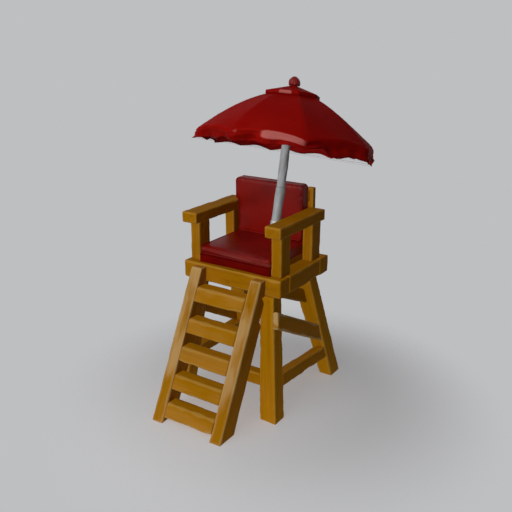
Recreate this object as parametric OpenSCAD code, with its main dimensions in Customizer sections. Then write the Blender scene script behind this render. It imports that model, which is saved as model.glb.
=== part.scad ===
// Timber lifeguard chair: four raked legs carry a deck frame with an armchair on it,
// a ladder leans against the front, and a leaning beach umbrella shades the seat.
// X runs across the chair, Y from the ladder to the back, Z up from the ground.

/* [Deck frame] */
// Width of the deck frame across the chair
deck_w = 920; // [760:10:1110]
// Depth of the deck frame from front to back
deck_d = 762; // [630:2:920]
// Height of the deck frame's top face above the ground
deck_top = 1128; // [930:1:1360]
// Height of a deck beam
beam_h = 140; // [115:1:170]
// Thickness of a deck beam
beam_t = 140; // [115:1:170]

/* [Legs] */
// Distance a leg's outer face stands in from the side of the deck, at its top
leg_inset = 54; // [20:1:80]
// Width of a front leg across the chair, at its top
leg_top_w = 122; // [90:1:135]
// Width of a front leg across the chair, on the ground
leg_foot_w = 148; // [100:1:170]
// Width of a back leg across the chair, at its top
back_leg_top_w = 162; // [125:1:180]
// Width of a back leg across the chair, on the ground
back_leg_foot_w = 120; // [100:1:170]
// How much further out each foot stands than its leg's top
leg_splay = 114; // [40:1:140]
// Depth of a leg at its top, from front to back
leg_top_d = 119; // [95:1:135]
// Depth of a front leg on the ground
front_foot_d = 138; // [100:1:160]
// Depth of a back leg on the ground
back_foot_d = 155; // [110:1:180]
// How far a front leg stands proud of the deck frame at its top
front_leg_proud = 14; // [0:1:30]
// How much further forward a front leg's front face is on the ground than at its top
front_leg_run = 136; // [60:1:200]
// How much further back a back leg's front face is on the ground than at its top
back_leg_run = 251; // [120:1:300]
// Distance from the deck's middle back to a back leg's front face, at its top
back_leg_top_y = 155; // [120:1:190]

/* [Stretchers and braces] */
// Height of the stretchers' lower edge above the ground, at the front legs
stretcher_z = 252; // [180:1:320]
// Height of a stretcher board
stretcher_h = 101; // [80:1:130]
// How much lower the right stretcher is at the back leg
right_stretcher_fall = 50; // [0:1:80]
// How much higher the front stretcher stands than the side ones
front_stretcher_rise = 12; // [0:1:40]
// Thickness of a stretcher board
stretcher_t = 90; // [60:1:110]
// Distance a stretcher is set in from the legs' outer faces
stretcher_inset = 5; // [0:1:30]
// Height of a side brace board, square to its length
brace_h = 128; // [80:1:150]
// Thickness of a side brace board
brace_t = 48; // [30:1:60]
// How much lower the left side brace stands than the right one
left_brace_drop = 22; // [0:1:40]
// Height of a side brace's middle line at the front leg
brace_front_z = 824; // [760:1:850]
// Height of a side brace's middle line at the back leg
brace_back_z = 452; // [420:1:540]
// Distance that a side brace runs past the front leg's front face
brace_overrun = 6; // [0:1:30]
// Depth that a side brace is housed into the front leg
brace_housing = 3; // [1:1:10]
// Distance a side brace is set in from the back leg's outer face
brace_inset = 4; // [0:1:30]
// Distance from the deck's underside down to a knee brace's lower edge, at the front leg
knee_front_drop = 26; // [5:1:60]
// Distance from the deck's underside down to a knee brace's lower edge, at the back leg
knee_back_drop = 251; // [220:1:300]
// Height of a knee brace's timber
knee_h = 110; // [80:1:140]
// Thickness of a knee brace
knee_t = 52; // [38:1:60]
// Distance a knee brace is set in from the legs' outer faces
knee_inset = 70; // [60:1:74]

/* [Ladder] */
// Distance from the front beam to the ladder's front edge on the ground
ladder_reach = 619; // [480:1:760]
// Width of the ladder over its rails
ladder_w = 662; // [540:2:760]
// Thickness of a rail across the ladder
rail_t = 100; // [70:1:120]
// Depth of a rail on the level, from front to back
rail_d = 183; // [140:1:210]
// Depth of a rail's top, in front of the beam
rail_top_d = 68; // [50:1:80]
// Distance from the deck's top down to a rail's top
rail_drop = 10; // [0:1:40]
// Height of a tread
tread_h = 104; // [60:1:120]
// Depth of a tread on the level
tread_d = 104; // [80:1:130]
// Height of the lowest tread's top
tread_first = 150; // [120:1:200]
// Rise from one tread to the next, below the highest
tread_pitch = 201; // [170:1:215]
// Distance from the deck's top down to the highest tread's top
tread_last = 144; // [100:1:200]

/* [Arms] */
// Distance an arm post is set in from the side of the deck
post_inset = 30; // [15:1:60]
// Width of an arm post across the chair
post_w = 90; // [60:1:110]
// Depth of an arm post
post_d = 140; // [90:1:160]
// Height of the armrests' tops above the deck
arm_h = 414; // [340:1:500]
// Thickness of an armrest
arm_t = 88; // [60:1:100]
// Width of an armrest
arm_w = 140; // [110:1:160]
// Distance an armrest runs forward of the front post
arm_nose = 65; // [20:1:90]
// Distance an armrest runs back past the back post
arm_tail = 10; // [0:1:30]
// Distance from the deck's front edge to a front arm post
post_front = 56; // [30:1:90]
// Distance from the deck's back edge to a back arm post
post_back = 91; // [80:1:130]

/* [Seat and back] */
// Thickness of the seat planks
plank_t = 60; // [45:1:72]
// Number of seat planks, side by side
plank_count = 4; // [3:1:5]
// Gap between two seat planks
plank_gap = 6; // [3:1:12]
// Distance from the deck's front edge to the planks' front ends
plank_front = 76; // [70:1:110]
// Width of a back post
back_post_w = 62; // [45:1:80]
// Depth of a back post
back_post_d = 45; // [35:1:60]
// Height of the back posts above the deck
back_post_h = 571; // [480:1:690]
// Thickness of a back slat
slat_t = 25; // [18:1:30]
// Height of a back slat
slat_h = 95; // [70:1:110]
// Number of back slats
slat_count = 4; // [3:1:5]
// Distance between the lower edges of two neighbouring slats
slat_pitch = 125; // [115:1:140]

/* [Cushions] */
// Thickness of the seat cushion
seat_cushion_t = 80; // [60:1:100]
// Depth of the front bolster
bolster_d = 34; // [25:1:38]
// Thickness of the back cushion
back_cushion_t = 98; // [70:1:110]
// Height of the back cushion
back_cushion_h = 464; // [380:1:550]
// Clearance between a cushion and the timber beside it
cushion_gap = 3; // [2:1:30]
// Distance the back cushion hangs over the left armrest
back_cushion_over = 24; // [0:1:40]
// Radius of a cushion's corners
cushion_r = 34; // [15:1:40]

/* [Umbrella] */
// Lean of the umbrella towards the back, in degrees
lean = 13.2; // [0:0.2:18]
// Radius of the lower pole
pole_r = 38.5; // [30:0.5:42]
// Radius of the upper pole
upper_pole_r = 36.5; // [24:0.5:38]
// Gap between the lower pole and the armrest
pole_gap = 1; // [0.5:0.5:4]
// Distance from the deck's front edge to the pole's line, at the height of the seat planks
pole_front = 144; // [135:1:160]
// Length of the lower pole
lower_pole_len = 300; // [180:1:420]
// Height of the pole's holder on the armrest
holder_h = 50; // [30:1:54]
// Distance along the pole's line from the height of the planks to the canopy's rim
rim_len = 925; // [840:1:1120]
// Radius of the canopy at its ribs
canopy_r = 715; // [600:5:870]
// Rise of the canopy from its rim to its crown
canopy_rise = 395; // [340:5:490]
// Number of ribs
rib_count = 8; // [6:1:10]
// Turn of the ribs about the pole, in degrees
rib_turn = 41; // [0:1:45]
// Depth of the valance at a rib
valance_h = 60; // [40:1:80]
// Height of the arch in the canopy's edge between two ribs
edge_arch = 40; // [20:1:70]
// Height of the valance's scallops
scallop_h = 18; // [8:1:24]
// Thickness of the canopy's cloth solid
cloth_t = 5; // [4:0.5:8]
// Radius of the vent in the canopy's top
vent_r = 110; // [80:1:130]
// Radius of the vent cap at its corners
cap_r = 208; // [170:1:240]
// Depth of the vent cap's skirt
cap_skirt = 24; // [14:1:34]
// Rise of the vent cap above its skirt
cap_rise = 62; // [40:1:80]
// Radius of the ball on top
ball_r = 47; // [36:1:54]
// Thickness of a rib
rib_t = 8; // [6:1:12]
// Height of a rib
rib_h = 12; // [8:1:16]
// Radius of a stay
stay_r = 5; // [4:0.5:7]

/* [Hidden] */
wood = "#c8860f";
vinyl = "#8c1712";
cloth = "#a30c06";
metal = "#c9cccb";
right = 1;
left = -1;
far = 4000;
eps = 0.01;
soft_gap = 0.3;

// Deck frame
deck_bottom = deck_top - beam_h;
deck_front_y = -deck_d / 2;
deck_back_y = deck_d / 2;

// A side frame is drawn flat, then leaned in by the splay: X out from the legs' outer
// faces, Y along the chair, Z up from the deck's underside
leg_top_x = deck_w / 2 - leg_inset;
foot_x = leg_top_x + leg_splay;
splay_angle = atan(leg_splay / deck_bottom);
side_len = deck_bottom / cos(splay_angle);
front_leg_top_y = deck_front_y - front_leg_proud;
// Faces of the legs at a distance s below the deck, down the side frame
function front_leg_front(s) = front_leg_top_y - front_leg_run * s / side_len;
function front_leg_back(s) = front_leg_front(s) + leg_top_d + (front_foot_d - leg_top_d) * s / side_len;
function back_leg_front(s) = back_leg_top_y + back_leg_run * s / side_len;
function back_leg_back(s) = back_leg_front(s) + leg_top_d + (back_foot_d - leg_top_d) * s / side_len;
// Distance down a side frame for a height above the ground
function down(z) = (deck_bottom - z) / cos(splay_angle);
// Inner face of a leg of two widths, across the chair, at a height above the ground
function leg_inner_x(z, top_w = leg_top_w, foot_w = leg_foot_w) = leg_top_x - top_w
    + (leg_splay - foot_w + top_w) * (deck_bottom - z) / deck_bottom;

// Ladder
ladder_slope = (ladder_reach - rail_top_d) / (deck_top - rail_drop);
function rail_front_y(z) = deck_front_y - ladder_reach + ladder_slope * z;
rail_notch_gap = 1;
tread_count = 5;
ladder_inner = ladder_w / 2 - rail_t;

// Armchair
post_outer_x = deck_w / 2 - post_inset;
post_inner_x = post_outer_x - post_w;
front_post_y = deck_front_y + post_front;
back_post_end_y = deck_back_y - post_back;
arm_inner_x = deck_w / 2 - arm_w;
arm_top_z = deck_top + arm_h;
arm_under_z = arm_top_z - arm_t;
arm_back_y = back_post_end_y + arm_tail;
plank_side_gap = 7;
plank_half_w = post_inner_x - plank_side_gap;
plank_front_y = deck_front_y + plank_front;
plank_back_y = arm_back_y - 8;
plank_w = (2 * plank_half_w - (plank_count - 1) * plank_gap) / plank_count;
plank_top_z = deck_top + plank_t;
back_post_outer_x = arm_inner_x + 25;
slat_half_w = arm_inner_x - 3;
slat_top_gap = 20;
slat_first_z = deck_top + back_post_h - slat_top_gap - slat_h - (slat_count - 1) * slat_pitch;

// Umbrella, drawn upright from the height of the planks' top and then leaned back. Its
// holder is at the middle of the armrest's height
holder_t = 4;
holder_floor = 6;
holder_ear = 18;
holder_gap = 0.3;
holder_at = (arm_under_z + arm_t / 2 - plank_top_z) / cos(lean) - holder_h / 2;
pole_foot = holder_at + holder_floor;
pole_joint = pole_foot + lower_pole_len;
pole_x = arm_inner_x - pole_gap - pole_r;
pole_y = deck_front_y + pole_front;
cap_gap = 6;
dome_power = 1.75;
arch_power = 4;
panel = 360 / rib_count;
panel_steps = 6;
dome_steps = 8;
skirt_steps = 3;
valance_flare = 14;
valance_turn = 0.965;
ball_neck_r = 16;
ball_up = 0.35;
// Height of the canopy above its rim at the radius r of a rib
function dome_z(r) = canopy_rise * (1 - pow(r / canopy_r, dome_power));
cap_edge_z = dome_z(cap_r) + cap_gap;
cap_top_z = cap_edge_z + cap_skirt + cap_rise;
cap_inner_r = (ball_neck_r + 1) / cos(panel / 2);
// Height of the upper pole's end above the rim, where it just meets the cap's underside
pole_end_z = cap_top_z - cloth_t - soft_gap
    - cap_rise * (upper_pole_r / cos(panel / 2) - cap_inner_r) / (cap_r - cap_inner_r - cloth_t);
runner_len = rim_len + 40;
runner_h = 55;
runner_r = 55;
crown_h = 46;
crown_r = 60;
crown_top_z = dome_z(crown_r) - cloth_t;

// Overall extent, which puts the origin under the middle of the object
function umbrella_point(r, a, z) = let (
        p = [r * cos(a), r * sin(a), rim_len + z]
    ) [pole_x + p.x, pole_y + p.y * cos(lean) + p.z * sin(lean), plank_top_z - p.y * sin(lean) + p.z * cos(lean)];
rim_points = rib_count * panel_steps;
edge_points = [for (j = [0:rim_points - 1]) hem_point(j, 0)];
low_x = min(-foot_x, min([for (p = edge_points) p.x]));
high_x = max(foot_x, max([for (p = edge_points) p.x]));
low_y = min(rail_front_y(0), min([for (p = edge_points) p.y]));
high_y = max(back_leg_back(side_len), max([for (p = edge_points) p.y]));
origin = [(low_x + high_x) / 2, (low_y + high_y) / 2, 0];

// Turns a module drawn for the right-hand side into either side
module on_side(side) {
    mirror([side == left ? 1 : 0, 0, 0]) children();
}

// Leans a flat side frame in from its feet, and cuts it at the ground and under the deck
module side_frame() {
    intersection() {
        translate([leg_top_x, 0, deck_bottom]) rotate([0, -splay_angle, 0]) children();
        translate([-far / 2, -far / 2, 0]) cube([far, far, deck_bottom]);
    }
}

// A board in a side frame: an outline in Y and Z, from x0 to x1
module side_board(x0, x1, outline) {
    translate([x0, 0, 0]) rotate([90, 0, 90]) linear_extrude(x1 - x0) polygon(outline);
}

// Everything outside the inner face of a leg of two widths, on the right-hand side
module outside_inner_face(top_w, foot_w) {
    translate([0, far / 2, 0]) rotate([90, 0, 0]) linear_extrude(far) polygon([
        [leg_inner_x(0, top_w, foot_w), 0],
        [leg_inner_x(0, top_w, foot_w) + far, 0],
        [leg_inner_x(0, top_w, foot_w) + far, deck_bottom],
        [leg_inner_x(deck_bottom, top_w, foot_w), deck_bottom]
    ]);
}

// How far an outline runs on before it is cut at the ground and under the deck
over = 80;

module front_leg() {
    intersection() {
        side_frame() side_board(-far / 10, 0, [
            [front_leg_front(-over), over],
            [front_leg_front(side_len + over), -side_len - over],
            [front_leg_back(side_len + over), -side_len - over],
            [front_leg_back(-over), over]
        ]);
        outside_inner_face(leg_top_w, leg_foot_w);
    }
}

module back_leg() {
    intersection() {
        side_frame() side_board(-far / 10, 0, [
            [back_leg_front(-over), over],
            [back_leg_front(side_len + over), -side_len - over],
            [back_leg_back(side_len + over), -side_len - over],
            [back_leg_back(-over), over]
        ]);
        outside_inner_face(back_leg_top_w, back_leg_foot_w);
    }
}

module leg_front_left() color(wood) on_side(left) front_leg();
module leg_front_right() color(wood) on_side(right) front_leg();
module leg_back_left() color(wood) on_side(left) back_leg();
module leg_back_right() color(wood) on_side(right) back_leg();

module cross_beam(y) {
    translate([-deck_w / 2, y, deck_bottom]) cube([deck_w, beam_t, beam_h]);
}

module side_beam() {
    translate([deck_w / 2 - beam_t, deck_front_y + beam_t, deck_bottom])
        cube([beam_t, deck_d - 2 * beam_t, beam_h]);
}

module deck_beam_front() color(wood) cross_beam(deck_front_y);
module deck_beam_back() color(wood) cross_beam(deck_back_y - beam_t);
module deck_beam_left() color(wood) on_side(left) side_beam();
module deck_beam_right() color(wood) on_side(right) side_beam();

// Front stretcher, cut to the slope of the front legs' inner faces
module stretcher_front() color(wood) {
    low_z = stretcher_z + front_stretcher_rise;
    top_z = low_z + stretcher_h;
    front_y = front_leg_front(down(top_z)) + stretcher_inset;
    translate([0, front_y + stretcher_t, 0]) rotate([90, 0, 0]) linear_extrude(stretcher_t) polygon([
        [-leg_inner_x(low_z), low_z],
        [leg_inner_x(low_z), low_z],
        [leg_inner_x(top_z), top_z],
        [-leg_inner_x(top_z), top_z]
    ]);
}

// Side stretcher, between the legs of one side, level or falling to the back
function stretcher_outline(drop) = let (
        low = down(stretcher_z),
        high = down(stretcher_z + stretcher_h),
        fall = drop / cos(splay_angle)
    ) [
        [front_leg_back(low), -low],
        [back_leg_front(low + fall), -low - fall],
        [back_leg_front(high + fall), -high - fall],
        [front_leg_back(high), -high]
    ];

module side_stretcher(drop) {
    side_frame() side_board(-stretcher_inset - stretcher_t, -stretcher_inset, stretcher_outline(drop));
}

module stretcher_left() color(wood) on_side(left) side_stretcher(0);
module stretcher_right() color(wood) on_side(right) side_stretcher(right_stretcher_fall);

// Side braces fall from the front leg to the back leg's front face. The right one is
// housed over the front leg's outer face; the left one stands between the legs
brace_s0 = down(brace_front_z);
brace_s1 = down(brace_back_z);
brace_y0 = front_leg_front(brace_s0) - brace_overrun;
brace_y1 = back_leg_front(brace_s1);
brace_fall = (brace_s1 - brace_s0) / (brace_y1 - brace_y0);
brace_half = brace_h / 2 / cos(atan(brace_fall));
// Distance down the side frame of a brace's lower (side = 1) or upper (side = -1) edge
function brace_front_s(side) = brace_s0 + side * brace_half / (1 + brace_fall * front_leg_run / side_len);
function brace_back_s(side) = brace_s1 + side * brace_half / (1 - brace_fall * back_leg_run / side_len);

module brace_outline() {
    side_frame() side_board(-far / 10, far / 10, [
        [front_leg_front(brace_front_s(1)) - brace_overrun, -brace_front_s(1)],
        [back_leg_front(brace_back_s(1)), -brace_back_s(1)],
        [back_leg_front(brace_back_s(-1)), -brace_back_s(-1)],
        [front_leg_front(brace_front_s(-1)) - brace_overrun, -brace_front_s(-1)]
    ]);
}

// A brace edge's crossing with a leg's face, where the edge passes the distance s down
// the front leg's front face
function brace_meets_front(s) = (s + brace_fall * leg_top_d)
    / (1 + brace_fall * (front_leg_run - front_foot_d + leg_top_d) / side_len);
function brace_meets_back(s) = (s + brace_fall * (back_leg_top_y - front_leg_top_y + front_leg_run * s / side_len))
    / (1 - brace_fall * back_leg_run / side_len);

module side_brace_left() color(wood) on_side(left) {
    low = brace_s0 + brace_half + left_brace_drop;
    high = brace_s0 - brace_half + left_brace_drop;
    difference() {
        side_frame() side_board(-brace_inset - brace_t, -brace_inset, [
            [front_leg_back(brace_meets_front(low)), -brace_meets_front(low)],
            [back_leg_front(brace_meets_back(low)), -brace_meets_back(low)],
            [back_leg_front(brace_meets_back(high)), -brace_meets_back(high)],
            [front_leg_back(brace_meets_front(high)), -brace_meets_front(high)]
        ]);
        side_frame() side_board(-brace_inset - brace_t - 1, 1 - brace_inset, stretcher_outline(0));
    }
}

module side_brace_right() color(wood) on_side(right) difference() {
    intersection() {
        brace_outline();
        side_frame() translate([0, 0, -side_len]) linear_extrude(side_len) polygon([
            [brace_t - brace_housing, brace_y0 - over],
            [-brace_housing, brace_y0 - over],
            [-brace_housing, brace_y0],
            [-brace_inset - brace_t, brace_y1],
            [-brace_inset - brace_t, brace_y1 + over],
            [-brace_inset, brace_y1 + over],
            [-brace_inset, brace_y1],
            [brace_t - brace_housing, brace_y0]
        ]);
    }
    front_leg();
}

// Knee brace: from the front leg's top, under the side beam, down to the back leg
module knee_brace() {
    y0 = front_leg_back(knee_front_drop);
    y1 = back_leg_front(knee_back_drop);
    slope = (knee_back_drop - knee_front_drop) / (y1 - y0);
    // Drop of the lower edge's line, moved up by the timber's height, at the distance y
    high = knee_front_drop - knee_h / cos(atan(slope));
    high_drop = (high + slope * (back_leg_top_y - y0)) / (1 - slope * back_leg_run / side_len);
    side_frame() side_board(-knee_inset - knee_t, -knee_inset, [
        [y0, -knee_front_drop],
        [y1, -knee_back_drop],
        [back_leg_front(high_drop), -high_drop],
        [y0 + (-over - high) / slope, over],
        [front_leg_back(-over), over]
    ]);
}

module knee_brace_left() color(wood) on_side(left) knee_brace();
module knee_brace_right() color(wood) on_side(right) knee_brace();

// Ladder rail: sloped, its back cut upright where it stands against the front beam,
// and notched where it passes the front leg
module ladder_rail() {
    top_z = deck_top - rail_drop;
    cut_z = (deck_front_y - rail_front_y(0) - rail_d) / ladder_slope;
    low = side_len + over;
    difference() {
        translate([ladder_inner, 0, 0]) rotate([90, 0, 90]) linear_extrude(rail_t) polygon([
            [rail_front_y(0), 0],
            [rail_front_y(0) + rail_d, 0],
            [deck_front_y, cut_z],
            [deck_front_y, top_z],
            [rail_front_y(top_z), top_z]
        ]);
        intersection() {
            side_frame() side_board(-far / 10, far / 10, [
                [front_leg_front(-over) - rail_notch_gap, over],
                [front_leg_front(low) - rail_notch_gap, -low],
                [front_leg_back(low), -low],
                [front_leg_back(-over), over]
            ]);
            translate([-rail_notch_gap, 0, 0]) outside_inner_face(leg_top_w, leg_foot_w);
        }
    }
}

module ladder_rail_left() color(wood) on_side(left) ladder_rail();
module ladder_rail_right() color(wood) on_side(right) ladder_rail();

// A tread between the rails, flush with their front faces, with its top and bottom level
module tread(n) {
    top_z = n == tread_count ? deck_top - tread_last : tread_first + (n - 1) * tread_pitch;
    low_z = top_z - tread_h;
    translate([-ladder_inner, 0, 0]) rotate([90, 0, 90]) linear_extrude(2 * ladder_inner) polygon([
        [rail_front_y(low_z), low_z],
        [rail_front_y(low_z) + tread_d, low_z],
        [rail_front_y(top_z) + tread_d, top_z],
        [rail_front_y(top_z), top_z]
    ]);
}

module ladder_tread_1() color(wood) tread(1);
module ladder_tread_2() color(wood) tread(2);
module ladder_tread_3() color(wood) tread(3);
module ladder_tread_4() color(wood) tread(4);
module ladder_tread_5() color(wood) tread(5);

// Seat planks, laid from the front beam to the back beam
module seat_planks() color(wood) {
    for (i = [0:plank_count - 1])
        translate([-plank_half_w + i * (plank_w + plank_gap), plank_front_y, deck_top])
            cube([plank_w, plank_back_y - plank_front_y, plank_t]);
}

module arm_post(y) {
    translate([post_inner_x, y, deck_top]) cube([post_w, post_d, arm_under_z - deck_top]);
}

module arm_post_front_left() color(wood) on_side(left) arm_post(front_post_y);
module arm_post_front_right() color(wood) on_side(right) arm_post(front_post_y);
module arm_post_back_left() color(wood) on_side(left) arm_post(back_post_end_y - post_d);
module arm_post_back_right() color(wood) on_side(right) arm_post(back_post_end_y - post_d);

module armrest() {
    nose_y = front_post_y - arm_nose;
    translate([arm_inner_x, nose_y, arm_under_z]) cube([arm_w, arm_back_y - nose_y, arm_t]);
}

module armrest_left() color(wood) on_side(left) armrest();
module armrest_right() color(wood) on_side(right) armrest();

module back_post() {
    translate([back_post_outer_x - back_post_w, arm_back_y, deck_top])
        cube([back_post_w, back_post_d, back_post_h]);
}

module back_post_left() color(wood) on_side(left) back_post();
module back_post_right() color(wood) on_side(right) back_post();

// Back slats, fixed across the front faces of the back posts
module back_slats() color(wood) {
    for (i = [0:slat_count - 1])
        translate([-slat_half_w, arm_back_y - slat_t, slat_first_z + i * slat_pitch])
            cube([2 * slat_half_w, slat_t, slat_h]);
}

// A cushion's solid: a block with rounded corners in plan, extruded upwards
module pad(x0, x1, y0, y1, h, r) {
    linear_extrude(h) hull() {
        for (x = [x0 + r, x1 - r])
            for (y = [y0 + r, y1 - r])
                translate([x, y]) circle(r, $fn = 32);
    }
}

cushion_half_w = post_inner_x - cushion_gap;
bolster_front_y = plank_front_y - soft_gap - bolster_d;
seat_cushion_front_y = bolster_front_y + 4;
cushion_back_y = arm_back_y - slat_t - soft_gap;
seat_cushion_z = plank_top_z + soft_gap;
seat_cushion_top_z = seat_cushion_z + seat_cushion_t;

module seat_bolster() color(vinyl) {
    r = bolster_d / 2;
    translate([0, 0, deck_top])
        pad(-cushion_half_w, cushion_half_w, bolster_front_y, plank_front_y - soft_gap, plank_t, r - eps);
}

module seat_cushion() color(vinyl) {
    translate([0, 0, seat_cushion_z])
        pad(-cushion_half_w, cushion_half_w, seat_cushion_front_y, cushion_back_y, seat_cushion_t, cushion_r);
}

module back_cushion() color(vinyl) {
    right_x = arm_inner_x - cushion_gap - 5;
    low_z = seat_cushion_top_z + soft_gap;
    over_x = -arm_inner_x - back_cushion_over;
    step_z = arm_top_z + cushion_gap;
    difference() {
        translate([0, cushion_back_y, low_z]) rotate([90, 0, 0])
            pad(over_x, right_x, 0, back_cushion_h, back_cushion_t, cushion_r);
        translate([over_x - 1, cushion_back_y - 2 * back_cushion_t, low_z - 1])
            cube([back_cushion_over + 1 + cushion_gap, 3 * back_cushion_t, step_z - low_z + 1]);
    }
}

// Stands a module drawn upright about the pole's line at its place, leaned back
module on_pole(z = 0) {
    translate([pole_x, pole_y, plank_top_z]) rotate([-lean, 0, 0]) translate([0, 0, z]) children();
}

// Holder: a strap bent round the pole with a floor under it and two ears flat on the
// armrest's inner face
module umbrella_holder() color(metal) {
    out = arm_inner_x - pole_x;
    r = pole_r + holder_gap;
    wide = r + holder_t;
    on_pole(holder_at) difference() {
        union() {
            cylinder(h = holder_h, r = wide, $fn = 48);
            translate([0, -wide, 0]) cube([out, 2 * wide, holder_h]);
            translate([out - holder_t, -wide - holder_ear, 0])
                cube([holder_t, 2 * (wide + holder_ear), holder_h]);
        }
        translate([0, 0, holder_floor]) cylinder(h = holder_h, r = r, $fn = 48);
        translate([0, -r, holder_floor]) cube([out + 1, 2 * r, holder_h]);
        translate([out, -far / 2, -1]) cube([far, far, holder_h + 2]);
    }
}

module umbrella_pole_lower() color(metal) {
    on_pole(pole_foot) cylinder(h = lower_pole_len, r = pole_r, $fn = 48);
}

module umbrella_pole_upper() color(metal) {
    on_pole(pole_joint)
        cylinder(h = rim_len + pole_end_z - pole_joint, r = upper_pole_r, $fn = 48);
}

module umbrella_runner() color(metal) {
    on_pole(runner_len) difference() {
        cylinder(h = runner_h, r = runner_r, $fn = 48);
        translate([0, 0, -1]) cylinder(h = runner_h + 2, r = upper_pole_r + holder_gap, $fn = 48);
    }
}

module umbrella_crown() color(metal) {
    on_pole(rim_len + crown_top_z - crown_h) difference() {
        cylinder(h = crown_h, r = crown_r, $fn = 48);
        translate([0, 0, -1]) cylinder(h = crown_h + 2, r = upper_pole_r + holder_gap, $fn = 48);
    }
}

// Rings of the canopy, from the vent to the fold above the valance
function ring_r(i) = vent_r + (canopy_r * valance_turn - vent_r) * i / dome_steps;
// A rib's upper edge runs from the crown out along the inside of the cloth
rib_side_drop = rib_t / 2 * tan(panel / 2) * canopy_rise * dome_power / canopy_r + soft_gap;
function rib_point(i) = let (r = ring_r(i)) [r * (1 - cloth_t / canopy_r), dome_z(r) - cloth_t - rib_side_drop];
rib_edge = concat(
    [[crown_r, dome_z(crown_r) - cloth_t - rib_side_drop - soft_gap]],
    [for (i = [0:dome_steps - 1]) rib_point(i)],
    [rib_point(dome_steps) * 0.6 + rib_point(dome_steps - 1) * 0.4]
);

module umbrella_ribs() color(metal) {
    low_edge = [for (i = [len(rib_edge) - 1:-1:0]) rib_edge[i] - [0, rib_h]];
    on_pole(rim_len) for (k = [0:rib_count - 1])
        rotate([0, 0, rib_turn + k * panel]) translate([0, rib_t / 2, 0]) rotate([90, 0, 0])
            linear_extrude(rib_t) polygon(concat(rib_edge, low_edge));
}

// Stays, from the runner up to the middle of the ribs
module umbrella_stays() color(metal) {
    rib_at = rib_point(dome_steps / 2);
    high = rib_at - [0, rib_h + stay_r * 0.6 + soft_gap];
    low_z = runner_len - rim_len + runner_h / 2;
    low = [runner_r + soft_gap + stay_r * cos(atan2(high.x - runner_r, high.y - low_z)), low_z];
    tilt = atan2(high.x - low.x, high.y - low.y);
    on_pole(rim_len) for (k = [0:rib_count - 1])
        rotate([0, 0, rib_turn + k * panel]) translate([low.x, 0, low.y]) rotate([0, tilt, 0])
            cylinder(h = norm(high - low), r = stay_r, $fn = 16);
}

// Canopy: a thin closed shell with flat-sided panels between the ribs, an arched edge and
// a scalloped valance. across is -1 at one rib of a panel and 1 at the next
function across(j) = 2 * ((j % panel_steps) / panel_steps) - 1;
function chord(j) = cos(panel / 2) / cos(across(j) * panel / 2);
function turn(j) = rib_turn + floor(j / panel_steps) * panel + (across(j) + 1) * panel / 2;
function arch(j, s) = edge_arch * pow(s, arch_power) * (1 - pow(across(j), 2));
function scallop(j) = scallop_h * pow(sin(180 * (across(j) + 1)), 2);
// Points of the dome from the vent (i = 0) to the fold (i = dome_steps)
function dome_point(i, j, inset) = let (
        r = ring_r(i),
        s = r / canopy_r
    ) umbrella_point((r - inset * s) * chord(j), turn(j), dome_z(r) + arch(j, s) - inset);
// Points of the valance below the fold, down to its hem
function valance_point(k, j, inset) = let (
        f = k / skirt_steps,
        r = canopy_r * valance_turn + valance_flare * f,
        fold_z = dome_z(canopy_r * valance_turn) + arch(j, valance_turn),
        hem_z = dome_z(canopy_r * valance_turn) - valance_h + scallop(j)
    ) umbrella_point((r - inset) * chord(j), turn(j), fold_z + (hem_z - fold_z) * f - inset * (1 - f));
function hem_point(j, inset) = valance_point(skirt_steps, j, inset);

// Joins two skins of rings, each a list of closed rings, into one closed shell
module shell(outer, inner) {
    n = len(outer[0]);
    rows = len(outer);
    function at(skin, i, j) = skin * rows * n + i * n + j % n;
    polyhedron(
        points = concat([for (ring = outer) each ring], [for (ring = inner) each ring]),
        faces = concat(
            [for (i = [0:rows - 2]) for (j = [0:n - 1]) [at(0, i, j), at(0, i, j + 1), at(0, i + 1, j + 1)]],
            [for (i = [0:rows - 2]) for (j = [0:n - 1]) [at(0, i, j), at(0, i + 1, j + 1), at(0, i + 1, j)]],
            [for (i = [0:rows - 2]) for (j = [0:n - 1]) [at(1, i, j), at(1, i + 1, j + 1), at(1, i, j + 1)]],
            [for (i = [0:rows - 2]) for (j = [0:n - 1]) [at(1, i, j), at(1, i + 1, j), at(1, i + 1, j + 1)]],
            [for (j = [0:n - 1]) [at(0, 0, j), at(1, 0, j), at(1, 0, j + 1)]],
            [for (j = [0:n - 1]) [at(0, 0, j), at(1, 0, j + 1), at(0, 0, j + 1)]],
            [for (j = [0:n - 1]) [at(0, rows - 1, j), at(1, rows - 1, j + 1), at(1, rows - 1, j)]],
            [for (j = [0:n - 1]) [at(0, rows - 1, j), at(0, rows - 1, j + 1), at(1, rows - 1, j + 1)]]
        )
    );
}

function canopy_skin(inset) = concat(
    [for (i = [0:dome_steps]) [for (j = [0:rim_points - 1]) dome_point(i, j, inset)]],
    [for (k = [1:skirt_steps]) [for (j = [0:rim_points - 1]) valance_point(k, j, inset)]]
);

module umbrella_canopy() color(cloth) shell(canopy_skin(0), canopy_skin(cloth_t));

// Vent cap: a low pyramid with one side for each rib and a short skirt, over the vent
cap_steps = 3;
function cap_ring(f, inset) = [for (j = [0:rim_points - 1])
    umbrella_point((cap_inner_r + (cap_r - cap_inner_r - inset) * f) * chord(j), turn(j),
        cap_top_z - cap_rise * f - inset)];
function cap_hem(inset) = [for (j = [0:rim_points - 1])
    umbrella_point((cap_r - inset) * chord(j), turn(j), cap_edge_z)];
function cap_skin(inset) = concat([for (i = [0:cap_steps]) cap_ring(i / cap_steps, inset)], [cap_hem(inset)]);

module umbrella_vent_cap() color(cloth) shell(cap_skin(0), cap_skin(cloth_t));

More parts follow.
